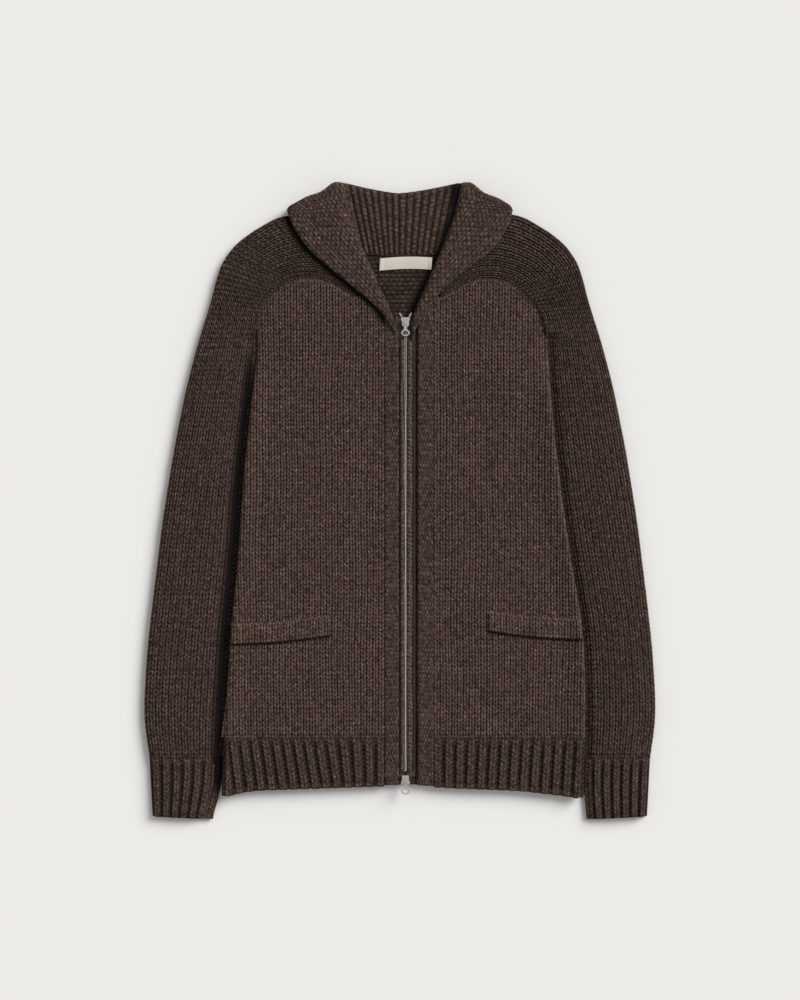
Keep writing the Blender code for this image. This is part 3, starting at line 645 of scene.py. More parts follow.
def hem_rib(side):
    """The rib under one front, from the hem's curved edge up to the panel."""
    band = BANDS[side]
    width = np.abs(side_x(RIB_MIDDLE_Y, side) - band[0]) - 0.4
    periods = round(width / RIB_PERIOD)
    rib, course, place, strands, trough, stitch = rib_grid(periods, HEM_RIB / COURSE)
    up = place / course.max()
    share = rib / periods
    y_flat = HEM_Y * (1 - up) + RIB_TOP_Y * up
    edge_x = side_x(y_flat, side)
    # the ribs don't stand quite square to the hem
    lean = (-11 if side < 0 else 3) * up * smooth(share * 2.5) * smooth((1 - share) * 11)
    x = band[0] + side * 0.4 + (edge_x - band[0] - side * 0.4) * share + lean
    y = hem_y(x) * (1 - up) + (RIB_TOP_Y - 0.05) * up
    y = y - 1.3 * np.exp(-0.8 * trough) * (1 - smooth(up / 0.06))  # each wale ends in its own small arch
    corner = 1 - smooth(np.abs(x - edge_x) / 9)
    y = y + (5.0 if side > 0 else 1.5) * corner * (1 - up) ** 3
    edge = np.minimum(np.abs(x - edge_x), up * (RIB_TOP_Y - HEM_Y))
    ease = smooth(edge / 3)
    top = front_top(x, y, side) - 1.9 * (1 - strands) * ease - trough * smooth(edge / 5) - 1.6 * (1 - ease)
    low = np.stack([x, y, front_under(x, y, side)], -1)[:, ::9]
    name = f"rib_{SIDES[side]}"
    # painted shade: the stored relief goes dark in the troughs between ribs
    made = shell(f"knit_{name}", np.stack([x, y, top], -1), low, stitch, strands * np.exp(-0.35 * trough),
                 WOOL_RIB, name)


for side in (-1, 1):
    hem_rib(side)

# %% [markdown]
# ## The back and its rib
# The back lies face down, so its smooth stitches point at the floor and only its purl side shows, in
# the neck. Little of it is ever seen, so its stitches are drawn by the material on a light mesh.


# %% Back panel and back rib
def back_faces(x, y):
    """Heights of the back's lower and upper face: lifted at the sides and turned up to the seams."""
    distance = np.minimum(x - side_x(y, -1), side_x(y, 1) - x)
    lift = edge_lift(y, distance)
    lower = lift + edge_drop(y, distance)
    return lower, np.minimum(lower + WALL, SEAM_HEIGHT - 0.2 + lift)


def back_top(x):
    """The height where the back ends at x: both armholes and the neck seam between them."""
    line = np.concatenate([armhole(-1, [2, 3]), [(-50, NECK_SEAM_Y - 0.5), (50, NECK_SEAM_Y - 0.5)],
                           armhole(1, [2, 3])[::-1]])
    return eased(x, line[:, 0], line[:, 1], 3)


BACK_WALES, BACK_WIDTH = 58, 0.42  # the width of the cut in metres


def back_piece(name, courses, y_of, node, material):
    """A back piece with two columns a wale and one row a course; y_of gives its rows' heights."""
    wale, course = np.meshgrid(np.arange(2 * BACK_WALES + 1) / 2, np.arange(courses + 1.0))
    y = y_of(course / courses, 0 * course)
    right, left = side_x(y, -1), side_x(y, 1)
    x = right + (left - right) * wale / BACK_WALES
    y = y_of(course / courses, x)
    x = np.clip(x, side_x(y, -1), side_x(y, 1))
    lower, upper = back_faces(x, y)
    stitch = np.stack([wale, course], -1)
    made = shell(name, np.stack([x, y, lower], -1), np.stack([x, y, upper], -1), stitch,
                 np.full_like(x, PLAIN), material, node)


back_piece("knit_back", 112, lambda t, x: np.minimum(RIB_TOP_Y + 0.6 + 560 * t, back_top(x)),
           "back_panel", WOOL_DRAWN)
back_piece("knit_rib_back", 12, lambda t, x: hem_y(x) * (1 - t) + (RIB_TOP_Y - 0.5) * t,
           "rib_back", WOOL_RIB_DRAWN)

# %% [markdown]
# ## Sleeves and cuffs
# A sleeve is knitted flat and sewn along its under-seam, then pressed. Its upper face carries modelled
# stitches; they run up the arm and swing over the shoulder into the collar, opening as they turn.
# Three lines guide them: the inner edge in front, the same edge behind, and the outer fold.

# %% Sleeve lines
SLEEVE_WALES = {-1: 13, 1: 12}
SLEEVE_COURSE = 5.4  # the sleeves are pulled a little longer than the body
DIPS = {-1: 24.0, 1: 11.0}  # how far each sleeve slopes down towards the body
# how much of the light each slope loses under the body's edge, and over how many mm it does so fully
SHADES = {-1: (1.0, 7.0), 1: (0.3, 0.0)}
FOLD_OUT = {-1: 2.8, 1: 4.8}  # how far the fold stands out past SLEEVE_FOLD; the relief takes some back
FOLD_RADIUS, FOLD_DROP = 6.5, 5.4  # the round at the fold: its width and its height
SLOPE = 4.7  # how far the upper face comes down beside the body


def fold_points(y, side):
    """The sleeve's outer fold at heights y, FOLD_OUT further out than its table."""
    return np.stack([side * (FOLD_OUT[side] + eased(y, SLEEVE_FOLD[:, 0], SLEEVE_FOLD[:, 1], 12)), y], -1)


def sleeve_lines(side):
    """Front inner, back inner and fold points from the cuff to the neck, and the length up the middle."""
    y = np.linspace(CUFF_TOP_Y + 0.05, UNDERARM_Y, 30)
    inner = np.stack([side_x(y, side) + side * 0.4, y], -1)
    shift = np.array([side * 0.1, 0.1])
    out = 0.7 * FOLD_OUT[side]
    shoulder = ARMHOLE[:, [4, 5]] * (side, 1) + (side * out, out)
    lines = [np.concatenate([inner, armhole(side, [0, 1]) + shift]),
             np.concatenate([inner, armhole(side, [2, 3]) + shift]),
             np.concatenate([fold_points(y, side), shoulder])]
    middle = (lines[0] + lines[2]) / 2
    length = np.concatenate([[0], np.cumsum(np.linalg.norm(np.diff(middle, axis=0), axis=-1))])
    return lines, length


def along_lines(lines, length, at, reach=14):
    """Each line's points at the given lengths, its corners rounded off except at the ends."""
    at = np.clip(at, 0, length[-1])
    room = np.minimum(reach, np.minimum(at, length[-1] - at))
    places = at + np.linspace(-1, 1, 9).reshape([9] + [1] * at.ndim) * room
    return [np.stack([np.interp(places, length, line[:, k]).mean(axis=0) for k in (0, 1)], -1)
            for line in lines]


print("sleeve's length up its middle in mm:", {side: round(sleeve_lines(side)[1][-1]) for side in (-1, 1)})

# %% [markdown]
# ## A pressed tube
# Laid flat, a sleeve is a tube pressed to two layers. Its section is drawn across the arm: flat on
# top, a round fold on the outside, a plain face below, and a slope beside the body, which rests on
# it. The section is worked out once for the whole grid and then carried along the guide lines.


# %% Pressed tubes
def pressed(share, width, curl, rise, dip):
    """Distance from the inner edge and height of a pressed tube's upper face at a share of its width.

    The face is flat but for a quarter round at the fold and, where curl is 1, a slope of
    SLOPE (1 - smooth(d / dip)) down to the under-seam, beneath the edge of the body.
    """
    d = share * width
    puffed = FLAT_HEIGHT + rise * smooth(d / 40 + 1 - curl) * smooth((width - d) / 26)
    return d, puffed - rounding(width - d, FOLD_RADIUS, FOLD_DROP) - curl * SLOPE * (1 - smooth(d / dip))


def placed(start, end, d, z):
    """Points a distance d along the plan line from start to end, at height z."""
    reach = end - start
    share = d / np.linalg.norm(reach, axis=-1)
    return np.concatenate([start + reach * share[..., None], z[..., None]], -1)


def tube(name, bent, straight, share, taken, stitch, relief_and_shade, rise, material, node, dip):
    """A pressed sleeve or cuff: a stitched upper face, a plain lower one, and the wall's inner face.

    bent holds the front, back and fold points of each vertex of the zig-zag grid and straight those
    of its rows. share runs across the upper face; taken is what its relief takes off, in mm, along
    the cross-section's own normal.
    """
    front, _, fold = bent
    wide = np.linalg.norm(fold - front, axis=-1)
    d, z = pressed(share, wide, 1 - smooth((front[..., 1] - UNDERARM_Y) / 12), rise, dip)
    slope_d, slope_z = np.gradient(d, axis=1), np.gradient(z, axis=1)
    size = np.hypot(slope_d, slope_z)
    upper = placed(front, fold, d + taken * slope_z / size, z - taken * slope_d / size)
    front, back_line, fold = [line[:, None] for line in straight]
    wide = np.linalg.norm(fold - front, axis=-1)
    curl = 1 - smooth((front[..., 1] - UNDERARM_Y) / 12)
    low_d = np.array([0, 0.01, 0.04, 0.1, 0.3, 0.5, 0.7, 0.85, 0.95, 0.985, 1.0])[None, ::-1]
    low_wide = np.linalg.norm(fold - back_line, axis=-1)
    low_z = (rounding(low_wide * (1 - low_d), FOLD_RADIUS, FOLD_DROP)
             + curl * rounding(low_wide * low_d, SEAM_HEIGHT, SLOPE))
    lower = placed(back_line, fold, low_d * low_wide, low_z)
    in_d = np.array([0, 0.12, 0.4, 0.7, 0.9, 1.0])[None]
    in_z = FLAT_HEIGHT - WALL + 0.9 * rise * smooth(in_d * 2.5 + 1 - curl) * smooth((1 - in_d) * 4)
    start = 0.5 * dip * curl
    inside_up = placed(front, fold, start + in_d * (wide - WALL - start), in_z - 0.1 + 0 * wide)
    inside_d = (start + in_d * (low_wide - WALL - start))[:, ::-1]
    inside_low = placed(back_line, fold, inside_d, WALL + 0 * (in_d + wide))
    outer = np.concatenate([upper, lower[:, 1:]], 1)
    inner = np.concatenate([inside_up, inside_low], 1)
    more = outer.shape[1] - stitch.shape[1]
    extra = np.stack([stitch[:, -1:, 0] + np.linspace(1, 14, more), stitch[:, -1:, 1] + np.zeros(more)], -1)
    stitch = np.concatenate([stitch, extra], 1)
    relief_and_shade = np.concatenate([relief_and_shade, np.full((len(relief_and_shade), more), PLAIN)], 1)
    return shell(name, outer, inner, stitch, relief_and_shade, material, node)


# %% [markdown]
# ## The two sleeves and their cuffs
# Both sleeves come from one function, and so do both cuffs; the tables above hold what differs. The
# slope beside the body hardly sees the sky, so its stitches are shaded as well as lowered.


# %% Sleeves and cuffs
def slope_shade(distance, side):
    """The light lost on the slope under the body's edge, at a distance from it, as SHADES says."""
    loss, full = SHADES[side]
    return loss * (1 - smooth((distance - full) / (0.5 * DIPS[side])))


def sleeve(side):
    """One sleeve, wales along the arm and courses spaced up its middle line."""
    lines, length = sleeve_lines(side)
    courses, wales = int(length[-1] / SLEEVE_COURSE), SLEEVE_WALES[side]
    wale, course, place = stitch_grid(wales, courses, 6, 4)
    height = stockinette(wale, course + 0.5)
    scale = length[-1] / courses
    deep = 2.0 + 1.3 * smooth((course * scale - 490) / 60)  # the loops open over the shoulder
    shaded = 1 - slope_shade(wale * WALE, side) * (1 - smooth((course * scale - 440) / 50))
    # painted shade on the sleeve's first row, where it meets the cuff
    shaded = shaded * (0.8 + 0.2 * smooth(course / 0.8))
    # painted shadow of the right lapel on the sleeve
    if side < 0:
        near, _, far = along_lines(lines, length, place * scale)
        spot = near + (far - near) * (wale / wales)[..., None]
        shaded = shaded * (1 - painted_lapel_shadow(spot[..., 0], spot[..., 1]))
    name = f"sleeve_{SIDES[side]}"
    made = tube(f"knit_{name}", along_lines(lines, length, place * scale),
                along_lines(lines, length, course[:, 0] * scale), wale / wales, deep * (1 - height),
                np.stack([wale, place], -1), height * shaded, 2.4, WOOL, name, DIPS[side])


def cuff(side):
    """The ribbed cuff, its inner edge turned out a little towards the hand."""
    y = np.linspace(CUFF_END_Y, CUFF_TOP_Y - 0.05, 12)
    turn = smooth((-325 - y) / 40)
    inner = np.stack([side_x(y, side) + side * (0.4 + (9 if side < 0 else 4) * turn), y - 3.5 * turn], -1)
    lines, length = [inner, inner, fold_points(y, side)], y - y[0]
    periods = 7
    rib, course, place, strands, trough, stitch = rib_grid(periods, length[-1] / COURSE + 0.6)
    scale = length[-1] / course.max()
    ends = smooth(course * COURSE / 4)
    name = f"cuff_{SIDES[side]}"
    shaded = 1 - slope_shade(rib * RIB_PERIOD, side) * smooth((course * scale - 16) / 26)
    # painted shade: the stored relief goes dark in the troughs between ribs
    made = tube(f"knit_{name}", along_lines(lines, length, place * scale),
                along_lines(lines, length, course[:, 0] * scale), rib / periods,
                1.6 * (1 - strands) + trough + 1.3 * (1 - ends), stitch,
                strands * np.exp(-0.35 * trough) * shaded, 1.4, WOOL_RIB, name, DIPS[side])


for side in (-1, 1):
    sleeve(side)
    cuff(side)

# %% [markdown]
# ## The shawl collar
# The collar is knitted in three parts: a back stand and two fronts that fold over it. Its ridges run
# from the neck seam over the fold to the outer edge, so they lie level on the fronts and fan out
# upwards on the stand. Each part is a rounded double layer; beads of wool stand along its ridges,
# close together on the stand and nearly free of each other on the fronts.

# %% Lapels
RIDGE, BEAD = 5.9, 5.2
LAPEL_HEIGHT, LAPEL_WALL = 18.6, 14.5


def lapel(side):
    """One folded front of the collar: rows run from the fold to the outer edge.

    Past the table the fold climbs two more points to the peak, where the last rows bulge into two
    soft humps, 13 and 45 mm in from the fold.
    """
    y, inner, outer = LAPEL[:, [0, 1, 2]].T if side < 0 else LAPEL[:, [0, 3, 4]].T
    fold_end = [(inner[-1] + side * 3.5, 352), (inner[-1] + side * 7, 364.5)]
    edge_end = [(outer[-1] - side * 0.5, 335), (outer[-1] - side * 3, 338.8)]
    start = np.concatenate([np.stack([inner, y], -1), fold_end])
    end = np.concatenate([np.stack([outer, y], -1), edge_end])
    length = np.concatenate([[0], np.cumsum(np.linalg.norm(np.diff(start, axis=0), axis=-1))])
    ridges = round(length[-1] / RIDGE)
    course, share = np.meshgrid(np.arange(ridges * 6 + 1) / 6, np.linspace(0, 1, 90), indexing="ij")
    start, end = along_lines([start, end], length, course * length[-1] / ridges, reach=9)
    reach = end - start
    width = np.linalg.norm(reach, axis=-1)
    depth = share * width
    plan = start + reach * share[..., None]
    last = smooth((course - ridges + 3) / 3)
    for most, middle, half in ((6.5, 13, 12), (3, 45, 16)):
        plan[..., 1] += most * last * np.exp(-(((depth - middle) / half) ** 2))
    small = np.minimum(1, width / 20)
    roll = 8 * small + (8 if side < 0 else 0) * smooth((plan[..., 1] - 270) / 30)
    smooth_top = (LAPEL_HEIGHT - rounding(depth, roll, 6.5) - rounding(width - depth, 5 * small, 3.2)
                  - rounding(ridges - course, 1.6, 7.5) - 4.5 * (1 - smooth(course / 5))
                  + wander(plan[..., 0], plan[..., 1], 0.5, 11))
    loose = smooth(share * 6) * smooth((1 - share) * 6)
    bead = nubs(depth / BEAD + wander(plan[..., 1], plan[..., 0], 0.25, 31),
                course + wander(plan[..., 0], plan[..., 1], 0.3, 33) * loose)
    top = smooth_top - 2.3 * (1 - bead)
    dim = 0.2 if side < 0 else 0.55
    bead = bead * (1 - dim + dim * smooth(depth / 5))  # the roll line catches little light
    thick = np.where(plan[..., 1] > 332, LAPEL_WALL, WALL + 5 * np.exp(-((depth / 14) ** 2)))
    low = np.maximum(smooth_top - thick, np.where(plan[..., 1] > 333, 0.4, 5.6))
    over_stand = (depth < 16) & (plan[..., 1] > NECK_SEAM_Y - 10) & (plan[..., 1] < 356)
    low = np.where(over_stand, np.maximum(low, np.minimum(11.3, smooth_top - 0.7)), low)
    stitch = np.stack([depth / BEAD, course], -1)
    name = f"lapel_{SIDES[side]}"
    made = shell(f"knit_{name}", np.concatenate([plan, top[..., None]], -1),
                 np.concatenate([plan, low[..., None]], -1)[:, ::8], stitch, bead,
                 WOOL_COLLAR, name)


for side in (-1, 1):
    lapel(side)

# %% [markdown]
# ## The collar's back stand
# Behind the neck the collar stands up and folds away over its own back, so what shows is a fan of
# ridges that opens towards the fold. It dips in the middle, where the wearer's neck would be.


# %% Collar stand
def collar_back():
    """The back stand, its ridges fanning from the neck seam up to the fold along the top edge."""
    ridges = 18
    course, up = np.meshgrid(np.arange(ridges * 6 + 1) / 6, np.linspace(0, 1, 66), indexing="ij")
    across = course / ridges * 2 - 1
    low_x = across * np.where(across < 0, 51.0, 59.0)
    high_x = across * np.where(across < 0, 74.0, 81.5)
    edge_y = np.minimum(354.6 + 15 * np.abs(across) ** 1.35, 366)
    low_y = NECK_SEAM_Y - 6 + 3 * across**2
    x, y = low_x + (high_x - low_x) * up, low_y + (edge_y - low_y) * up
    smooth_top = 10.9 - rounding(edge_y - y, 7, 5.2) - rounding(y - low_y, 5, 2.6)
    bead = beads((y - low_y) / BEAD, course)
    bead = bead * (0.3 + 0.7 * np.abs(np.sin(np.pi * course)) ** 0.6)  # deeper grooves than on the fronts
    top = smooth_top - 2.6 * (1 - bead)
    low = np.where(y < NECK_SEAM_Y + 3, 7.7, 0.4 + rounding(edge_y - y, 7, 5.2))
    # the stored shade carries the painted shadow inside the left lapel's fold
    made = shell("knit_collar_back", np.stack([x, y, top], -1), np.stack([x, y, low], -1)[:, ::6],
                 np.stack([(y - low_y) / BEAD, course], -1), 0.9 * bead * (1 - painted_fold_shadow(x, y)),
                 WOOL_COLLAR, "collar_back")


collar_back()

# %% [markdown]
# ## Zip bands and rolled edges
# Beside the zip each front has a narrow band of moss stitch, and the facing's edge rolls up next to
# the teeth like a soft cord. Both are one strip of stitches carried straight up the front: the band
# with a flat top and rounded edges, the roll with half an ellipse for its section.

# %% Bands and edge rolls
BAND_BOTTOM_Z, BAND_TOP_Z = 8.0, 12.6
BAND_COURSES, BAND_BEAD, BAND_LENGTH = 113, 3.4, 0.54
# each roll's outer and inner x and, in metres, its cut's width over the showing half
ROLLS = {-1: (1.2, 6.0, 0.0105), 1: (17.4, 9.4, 0.012)}
ROLL_BOTTOM_Y, ROLL_TOP_Y, ROLL_STITCHES, ROLL_LENGTH = -311.0, 185.0, 100, 0.496


def strip(name, x, y, top, bead, stitch, flat, columns):
    """A narrow knitted strip: its outer face at the heights in top, a flat inner face with fewer columns."""
    made = shell(f"knit_{name}", np.stack([x, y, top], -1),
                 np.stack([x, y, BAND_BOTTOM_Z + 0 * x], -1)[:, ::columns], stitch, bead, WOOL_BAND, name)


def zip_band(side):
    """The flat moss-stitch band, stopped along its slanted top and rounded off at all its edges."""
    outer_x, inner_x, outer_y, inner_y = BANDS[side]
    course, share = np.meshgrid(np.arange(BAND_COURSES * 5 + 1) / 5, np.linspace(0, 1, 29), indexing="ij")
    x = outer_x + (inner_x - outer_x) * share
    end = outer_y + (inner_y - outer_y) * share
    y = hem_y(x) + course * COURSE
    x, y, course, share, end = stopped(y > end, x, y, course, share, end)
    wide = abs(inner_x - outer_x)
    away = np.minimum(share, 1 - share) * wide
    bead = nubs(share * wide / BAND_BEAD + wander(y, x, 0.4, 41),
                course + wander(x, y, 0.4, 43) * smooth(course / 3))
    smooth_top = (BAND_TOP_Z + 0.3 - rounding(away, 2.2 + 1.0 * share, 1.4 + 1.2 * share)
                  - rounding(y - hem_y(x), 4, 2) - rounding(end - y, 5, 2.5)
                  - 0.8 * creased(x, y) + wander(x, y, 0.3, 9))
    strip(f"band_{SIDES[side]}", x, y, smooth_top - 1.7 * (1 - bead), bead,
          np.stack([share * wide / BAND_BEAD, course], -1), (wide * MM, BAND_LENGTH), 7)


def roll_over(y):
    """How far a roll leans over the teeth at height y: more in three stretches, and a slow swing."""
    low = 0.55 * smooth((y + 205) / 30) * smooth((-75 - y) / 40)
    middle = 0.3 * smooth((y + 160) / 60) * smooth((10 - y) / 30)
    return low + middle + 0.5 * smooth((95 - y) / 30) + 0.25 * np.sin(y / 37 + 1)


def edge_roll(side):
    """The rolled edge: half an ellipse across, 9.3 + 4 sqrt(1 - (2 dome - 1)^2), with slanted stitches."""
    outer_x, inner_x, cut = ROLLS[side]
    course, share = np.meshgrid(np.arange(ROLL_STITCHES * 5 + 1) / 5, np.linspace(0, 1, 16), indexing="ij")
    y = ROLL_BOTTOM_Y + (ROLL_TOP_Y - ROLL_BOTTOM_Y) * course / ROLL_STITCHES
    sway = 0.35 * np.sin(y / 23) + 0.25 * np.sin(y / 9.7 + side)
    x = outer_x + (inner_x - side * roll_over(y) - outer_x) * share + sway * (share > 0.2)
    # the left roll has a flat strip of facing beside it
    dome = np.clip(np.where(side < 0, share, (share - 0.22) / 0.78), 0, 1)
    bead = np.abs(np.sin(np.pi * (course - 0.55 * dome))) ** 0.6
    half_round = 9.3 + 4.0 * np.sqrt(np.clip(1 - (2 * dome - 1) ** 2, 0, 1))
    top = half_round - rounding(ROLL_TOP_Y - y, 12, 2.5) - 1.3 * (1 - bead)
    # painted shade: darker at the roll's outer foot, where it meets the band, and on the flat facing
    strip(f"edge_roll_{SIDES[side]}", x, y, top, 0.25 + 0.75 * bead * np.clip(dome * 4, 0, 1),
          np.stack([share, course], -1), (cut, ROLL_LENGTH), 5)


for side in (-1, 1):
    zip_band(side)
    edge_roll(side)

# %% [markdown]
# ## Pocket welts
# Each pocket slit is finished by a folded band of stockinette, sewn down along its lower edge, where
# the stitching pulls a furrow that is painted dark as shade. It is laid on the front's own surface, moved
# out.


# %% Welts
def welt(side, height=23.5):
    """A welt from the side seam in to its near end, laid along the line given in WELTS."""
    near_x, far_y, _ = WELTS[side]
    far_x = side_x(far_y, side) - side * 1.2
    wales = abs(far_x - near_x) / WALE
    wale, course, place = stitch_grid(wales, height / COURSE, 8, 5)
    share, up = wale / wales, place / course.max()
    x = near_x + (far_x - near_x) * share
    y = welt_line(share, side) + height * up
    edge = np.minimum(np.minimum(up, 1 - up) * height, np.minimum(share, 1 - share) * wales * WALE)
    edge = np.abs(edge)
    strands = stockinette(wale, course)
    ease = smooth(edge / 2.2)
    flat_top = front_top(x, y, side)
    bulge = 1.4 * np.exp(-(((1 - share) / 0.07) ** 2)) * (side > 0)
    top = (flat_top + 2.6 + bulge - rounding(edge, 3, 2.2) - 1.6 * smooth(1 - (1 - up) * height / 9)
           - 1.7 * (1 - strands) * ease - 0.5 * (1 - ease))
    strands = strands * (1 - 0.6 * (1 - smooth(up * height / 2.5)))  # painted shade in the sewn furrow
    # painted shade: the welt's upper edge, which catches the light from above, is darker
    strands = strands * (1 - 0.45 * (1 - smooth((1 - up) * height / 2.0)))
    name = f"pocket_welt_{SIDES[side]}"
    made = shell(f"knit_{name}", np.stack([x, y, top], -1), np.stack([x, y, flat_top - 0.9], -1)[:, ::8],
                 np.stack([wale, place], -1), strands, WOOL_FRONT, name)


for side in (-1, 1):
    welt(side)

# %% [markdown]
# ## Inside the neck
# Through the V of the collar the back's purl side shows: rows of small bumps, the reverse of the Vs.
# It is a face of its own, because the back beneath it carries its stitches on the side that is down.

# %% Purl side
PURL_STITCHES = 18  # both ways
PURL_WALE, PURL_COURSE = 6.8, 5.0
PURL_CORNER = (-58.0, 197.0)  # x and y of the lowest stitch on the wearer's right


def neck_inside():
    """The back's inner face that shows in the neck: beads on 5.2 mm of cloth.

    The beads fade over the last 3 mm to the neck seam, to the foot and to the wearer's right.
    """
    numbers = np.arange(PURL_STITCHES * 8 + 1) / 8
    course, wale = np.meshgrid(numbers, numbers, indexing="ij")
    x, y = PURL_CORNER[0] + wale * PURL_WALE, PURL_CORNER[1] + course * PURL_COURSE
    bead = beads(wale, course)
    seam_y = NECK_SEAM_Y - 0.6
    edge = np.minimum.reduce([wale * PURL_WALE, y - PURL_CORNER[1], seam_y - y])
    top = 5.2 + (1.9 * bead + 0.3) * smooth(np.abs(edge) / 3) + wander(x, y, 0.25, 21)
    y_held = np.minimum(y, seam_y)
    # the stored shade carries the painted shadow inside the left lapel's fold
    made = shell("knit_neck_inside", np.stack([x, y_held, top], -1),
                 np.stack([x, y_held, 0 * x + 4.6], -1)[:, ::8], np.stack([wale, course], -1),
                 0.9 * bead * (1 - painted_fold_shadow(x, y)), WOOL_NECK_IN_SHADE, None)


neck_inside()

# %% [markdown]
# ## Label and tapes
# A woven label is a flat ribbon with both ends turned under, so a second thickness shows there. The
# zip's two tapes are woven as well, in the cardigan's own brown.

# %% Label and tapes
LABEL_LONG, LABEL_DEEP, LABEL_FOLD = 60.0, 14.0, 3.5  # its length and depth, and what each end turns under
LABEL_CORNER = (-22.5, 264.7)


def woven(name, colour, across, up):
    """A fine plain weave on Object coordinates, in one colour: two sine grids as a bump."""
    material = bpy.data.materials.new(name)
    material.use_nodes = True
    tree = material.node_tree
    shader = tree.nodes["Principled BSDF"]
    shader.inputs["Base Color"].default_value = (*colour, 1)
    shader.inputs["Roughness"].default_value = 0.8
    place = add_node(tree, "ShaderNodeSeparateXYZ")
    tree.links.new(add_node(tree, "ShaderNodeTexCoord").outputs["Object"], place.inputs[0])
    weave = calc(tree, "MULTIPLY", calc(tree, "SINE", calc(tree, "MULTIPLY", place.outputs[0], across)),
                 calc(tree, "SINE", calc(tree, "MULTIPLY", place.outputs[1], up)))
    bump = add_node(tree, "ShaderNodeBump")
    bump.inputs["Strength"].default_value = 0.4
    bump.inputs["Distance"].default_value = 0.0002
    tree.links.new(weave, bump.inputs["Height"])
    tree.links.new(bump.outputs[0], shader.inputs["Normal"])
    return material


LABEL = woven("cream label weave", (0.58, 0.545, 0.475), 9000, 9000)
TAPE = woven("zip tape weave", (0.058, 0.040, 0.032), 5000, 3000)


def neck_label():
    """The label: bowed up 1.6 mm along its length, domed 0.5 mm across, its folded ends raised 0.5 mm."""
    share, up = np.meshgrid(np.linspace(0, 1, 61), np.linspace(0, 1, 9))
    x = LABEL_CORNER[0] + LABEL_LONG * share + 0.8 * up
    y = LABEL_CORNER[1] + LABEL_DEEP * up + 1.6 * np.sin(np.pi * share) + 1.2 * share
    end = np.minimum(share, 1 - share) * LABEL_LONG
    top = 8.3 + 0.5 * np.sin(np.pi * up) + 0.5 * (end < LABEL_FOLD) + 0.25 * np.sin(9 * share)
    made = shell("label_cloth", np.stack([x, y, top], -1), np.stack([x, y, top - 0.7], -1)[:, ::4],
                 np.stack([share, up], -1), 0 * x + 1, LABEL, "neck_label")


neck_label()
for name in SIDES.values():
    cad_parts[f"zip_tape_{name}"].data.materials[0] = TAPE

# %% [markdown]
# ## The zip
# A metal zip: two rows of small teeth that interlock, a slider at each end and their pulls. All are
# plated with nickel, a little dull on the sliders; the teeth are half metal with a pale base colour, a
# painted glint that keeps them bright where plain metal would mirror only the dim sky.


# %% Metal
def nickel(name, colour, metallic):
    """Plated metal: pale, with a fine scatter in its roughness from wear."""
    material = bpy.data.materials.new(name)
    material.use_nodes = True
    tree = material.node_tree
    shader = tree.nodes["Principled BSDF"]
    shader.inputs["Base Color"].default_value = (*colour, 1)
    shader.inputs["Metallic"].default_value = metallic
    wear = add_node(tree, "ShaderNodeTexNoise", in_2=900.0, in_3=2.0)
    tree.links.new(add_node(tree, "ShaderNodeTexCoord").outputs["Object"], wear.inputs[0])
    tree.links.new(calc(tree, "MULTIPLY_ADD", wear.outputs[0], 0.3, 0.2), shader.inputs["Roughness"])
    return material


NICKEL = nickel("nickel plate", (0.68, 0.66, 0.63), 1.0)
# painted highlight: half metal with a pale base colour, so the teeth stay bright
TEETH_PAINTED_GLINT = nickel("teeth with painted glint", (0.86, 0.85, 0.83), 0.45)
for name in ("slider_top", "slider_bottom", "pull_top", "pull_bottom", "zip_stop_right", "zip_stop_left"):
    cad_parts[name].data.materials[0] = NICKEL
print("metal materials:", NICKEL.name, "and", TEETH_PAINTED_GLINT.name)

# %% [markdown]
# ## The teeth
# Each row is one short block repeated up the tape, and the left row sits half a pitch higher, so the
# teeth of one side fall between those of the other. With a few faces a tooth, both rows stay light.

# %% Teeth
PITCH, CHAIN_BOTTOM_Y, CHAIN_TOP_Y = 2.3, -311.0, 199.0
# a tooth's half width and half length, then each ring of its corners: a share of them, and a height
TOOTH_X, TOOTH_Y = 0.55, 0.5
TOOTH_RINGS = ((1.0, 7.9), (1.0, 11.6), (0.72, 12.2))


def teeth():
    """Both rows of teeth: one block of 12 corners with a bevelled top, placed at every pitch at once.

    A row stands 0.42 mm off the middle, plus 0.45 mm towards the top slider and a slow swing.
    """
    ring_x = np.array([-1, 1, 1, -1]) * TOOTH_X
    ring_y = np.array([-1, -1, 1, 1]) * TOOTH_Y
    corner = np.concatenate([np.stack([ring_x * k, ring_y * k, np.full(4, z)], -1) for k, z in TOOTH_RINGS])
    quad = [(3, 2, 1, 0), (8, 9, 10, 11)]
    quad += [(r + i, r + (i + 1) % 4, r + 4 + (i + 1) % 4, r + 4 + i) for r in (0, 4) for i in range(4)]
    count = int((CHAIN_TOP_Y - CHAIN_BOTTOM_Y) / PITCH)
    places = []
    for side in (-1, 1):
        y = CHAIN_BOTTOM_Y + PITCH * (np.arange(count) + 0.5 * (side > 0))
        apart = 0.42 + 0.45 * smooth((y - 95) / 25) + 0.12 * np.sin(y / 29)
        places.append(np.stack([ZIP_X + side * apart + 0.1, y, 0 * y], -1))
    points = (np.concatenate(places)[:, None] + corner).reshape(-1, 3) * MM
    faces = (np.array(quad)[None] + len(corner) * np.arange(2 * count)[:, None, None]).reshape(-1, 4)
    made = piece("zip_teeth", points, faces, 0 * points[:, :2], 0 * points[:, 0], TEETH_PAINTED_GLINT,
                 "zip_chain")
    made.data.polygons.foreach_set("use_smooth", np.zeros(len(faces), bool))
    print("teeth:", 2 * count)


teeth()

# %% [markdown]
# ## Floor, light and camera
# The garment lies on a pale sweep. A soft sun stands low over the wearer's left shoulder, so each
# strand has a lit and a shaded side, and a dim even sky fills the rest. The camera looks straight
# down. The floor is far larger than the garment, so that its edge stays out of low views too.

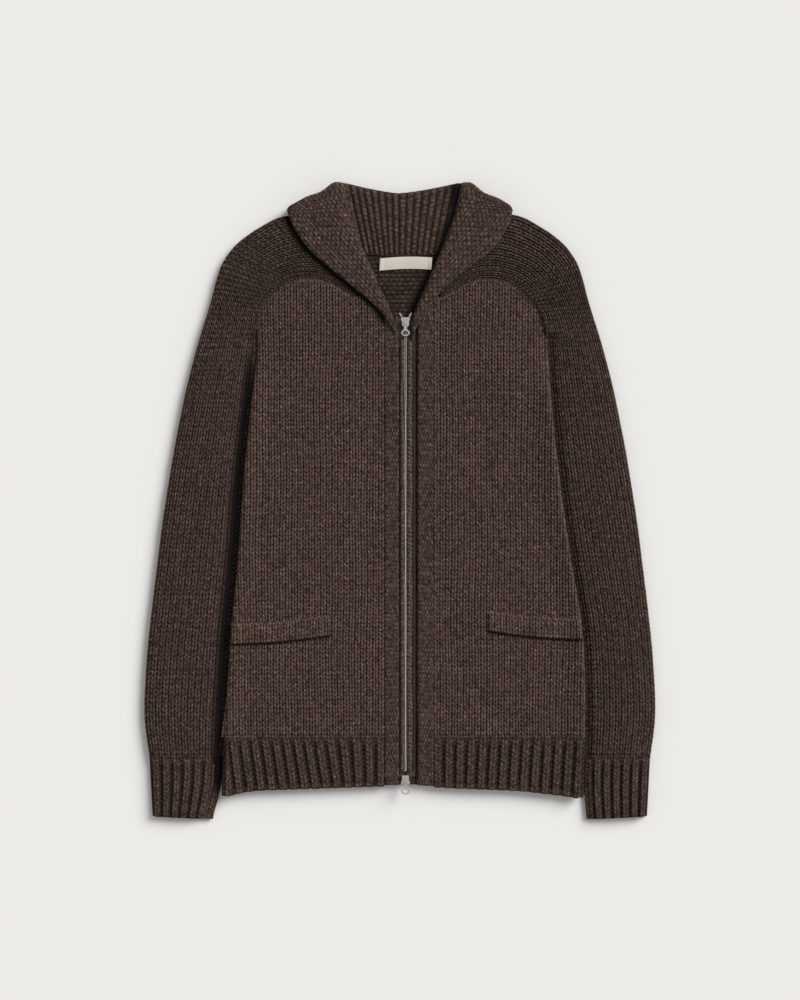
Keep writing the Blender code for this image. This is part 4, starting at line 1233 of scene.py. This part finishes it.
# %% Floor
FLOOR_SIZE, FLOOR_DROP = 60.0, 0.0004  # metres
half = FLOOR_SIZE / 2
corners = [(-half, -half, 0), (half, -half, 0), (half, half, 0), (-half, half, 0)]
mesh = bpy.data.meshes.new("floor")
mesh.from_pydata(corners, [], [(0, 1, 2, 3)])
floor = bpy.data.objects.new("floor", mesh)
bpy.context.scene.collection.objects.link(floor)
floor.location.z = -FLOOR_DROP
pale = bpy.data.materials.new("pale sweep")
pale.use_nodes = True
shader = pale.node_tree.nodes["Principled BSDF"]
shader.inputs["Base Color"].default_value = (0.80, 0.79, 0.77, 1)
shader.inputs["Roughness"].default_value = 0.9
mesh.materials.append(pale)
floor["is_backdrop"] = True
print("floor in m:", FLOOR_SIZE)

# %% [markdown]
# ## Light
# The sun's disc is made wide, as a window or a soft box would be, so the edge of each shadow is soft.
# The even sky keeps the shaded side of the yarn from going black.

# %% Light
world = bpy.data.worlds.new("studio fill")
world.use_nodes = True
sky = world.node_tree.nodes["Background"]
sky.inputs[0].default_value = (1.0, 0.99, 0.98, 1)
sky.inputs[1].default_value = 0.46
bpy.context.scene.world = world

SUN_FROM = (1.30, 1.05, 1.14)  # the way to the key light: from the wearer's left and above the collar
key_data = bpy.data.lights.new("key", "SUN")
key_data.energy, key_data.angle = 3.3, np.radians(34)
key = bpy.data.objects.new("key", key_data)
key.rotation_euler = Vector(SUN_FROM).to_track_quat("Z", "Y").to_euler()
bpy.context.scene.collection.objects.link(key)
rise = np.degrees(np.arctan2(SUN_FROM[2], np.hypot(SUN_FROM[0], SUN_FROM[1])))
print("key light's height above the floor in degrees:", round(rise))

# %% [markdown]
# ## Camera
# The view's height stands for a known length of floor, so the lens follows from the camera's height
# over the garment's middle layer. The camera isn't turned: it looks down its own -Z.

# %% Camera
VIEW_HEIGHT = 1.15  # metres of floor from the top of the view to its bottom
CAMERA_HEIGHT, MIDDLE_LAYER = 2.4, 0.012
SENSOR = 24  # mm
camera_data = bpy.data.cameras.new("camera")
camera_data.sensor_fit = "VERTICAL"
camera_data.sensor_height = SENSOR
camera_data.lens = SENSOR * (CAMERA_HEIGHT - MIDDLE_LAYER) / VIEW_HEIGHT
camera = bpy.data.objects.new("camera", camera_data)
camera.location = (0.0012, 0.0006, CAMERA_HEIGHT)
bpy.context.scene.collection.objects.link(camera)
bpy.context.scene.camera = camera
bpy.context.scene.view_settings.view_transform = "Standard"
print("lens in mm:", round(camera_data.lens, 2))

# %% [markdown]
# ## Finish
# The shown box is measured again and printed.

# %% Finish
print("shown box in mm:", [np.round(np.array(v) * 1000, 1).tolist() for v in write_size()])
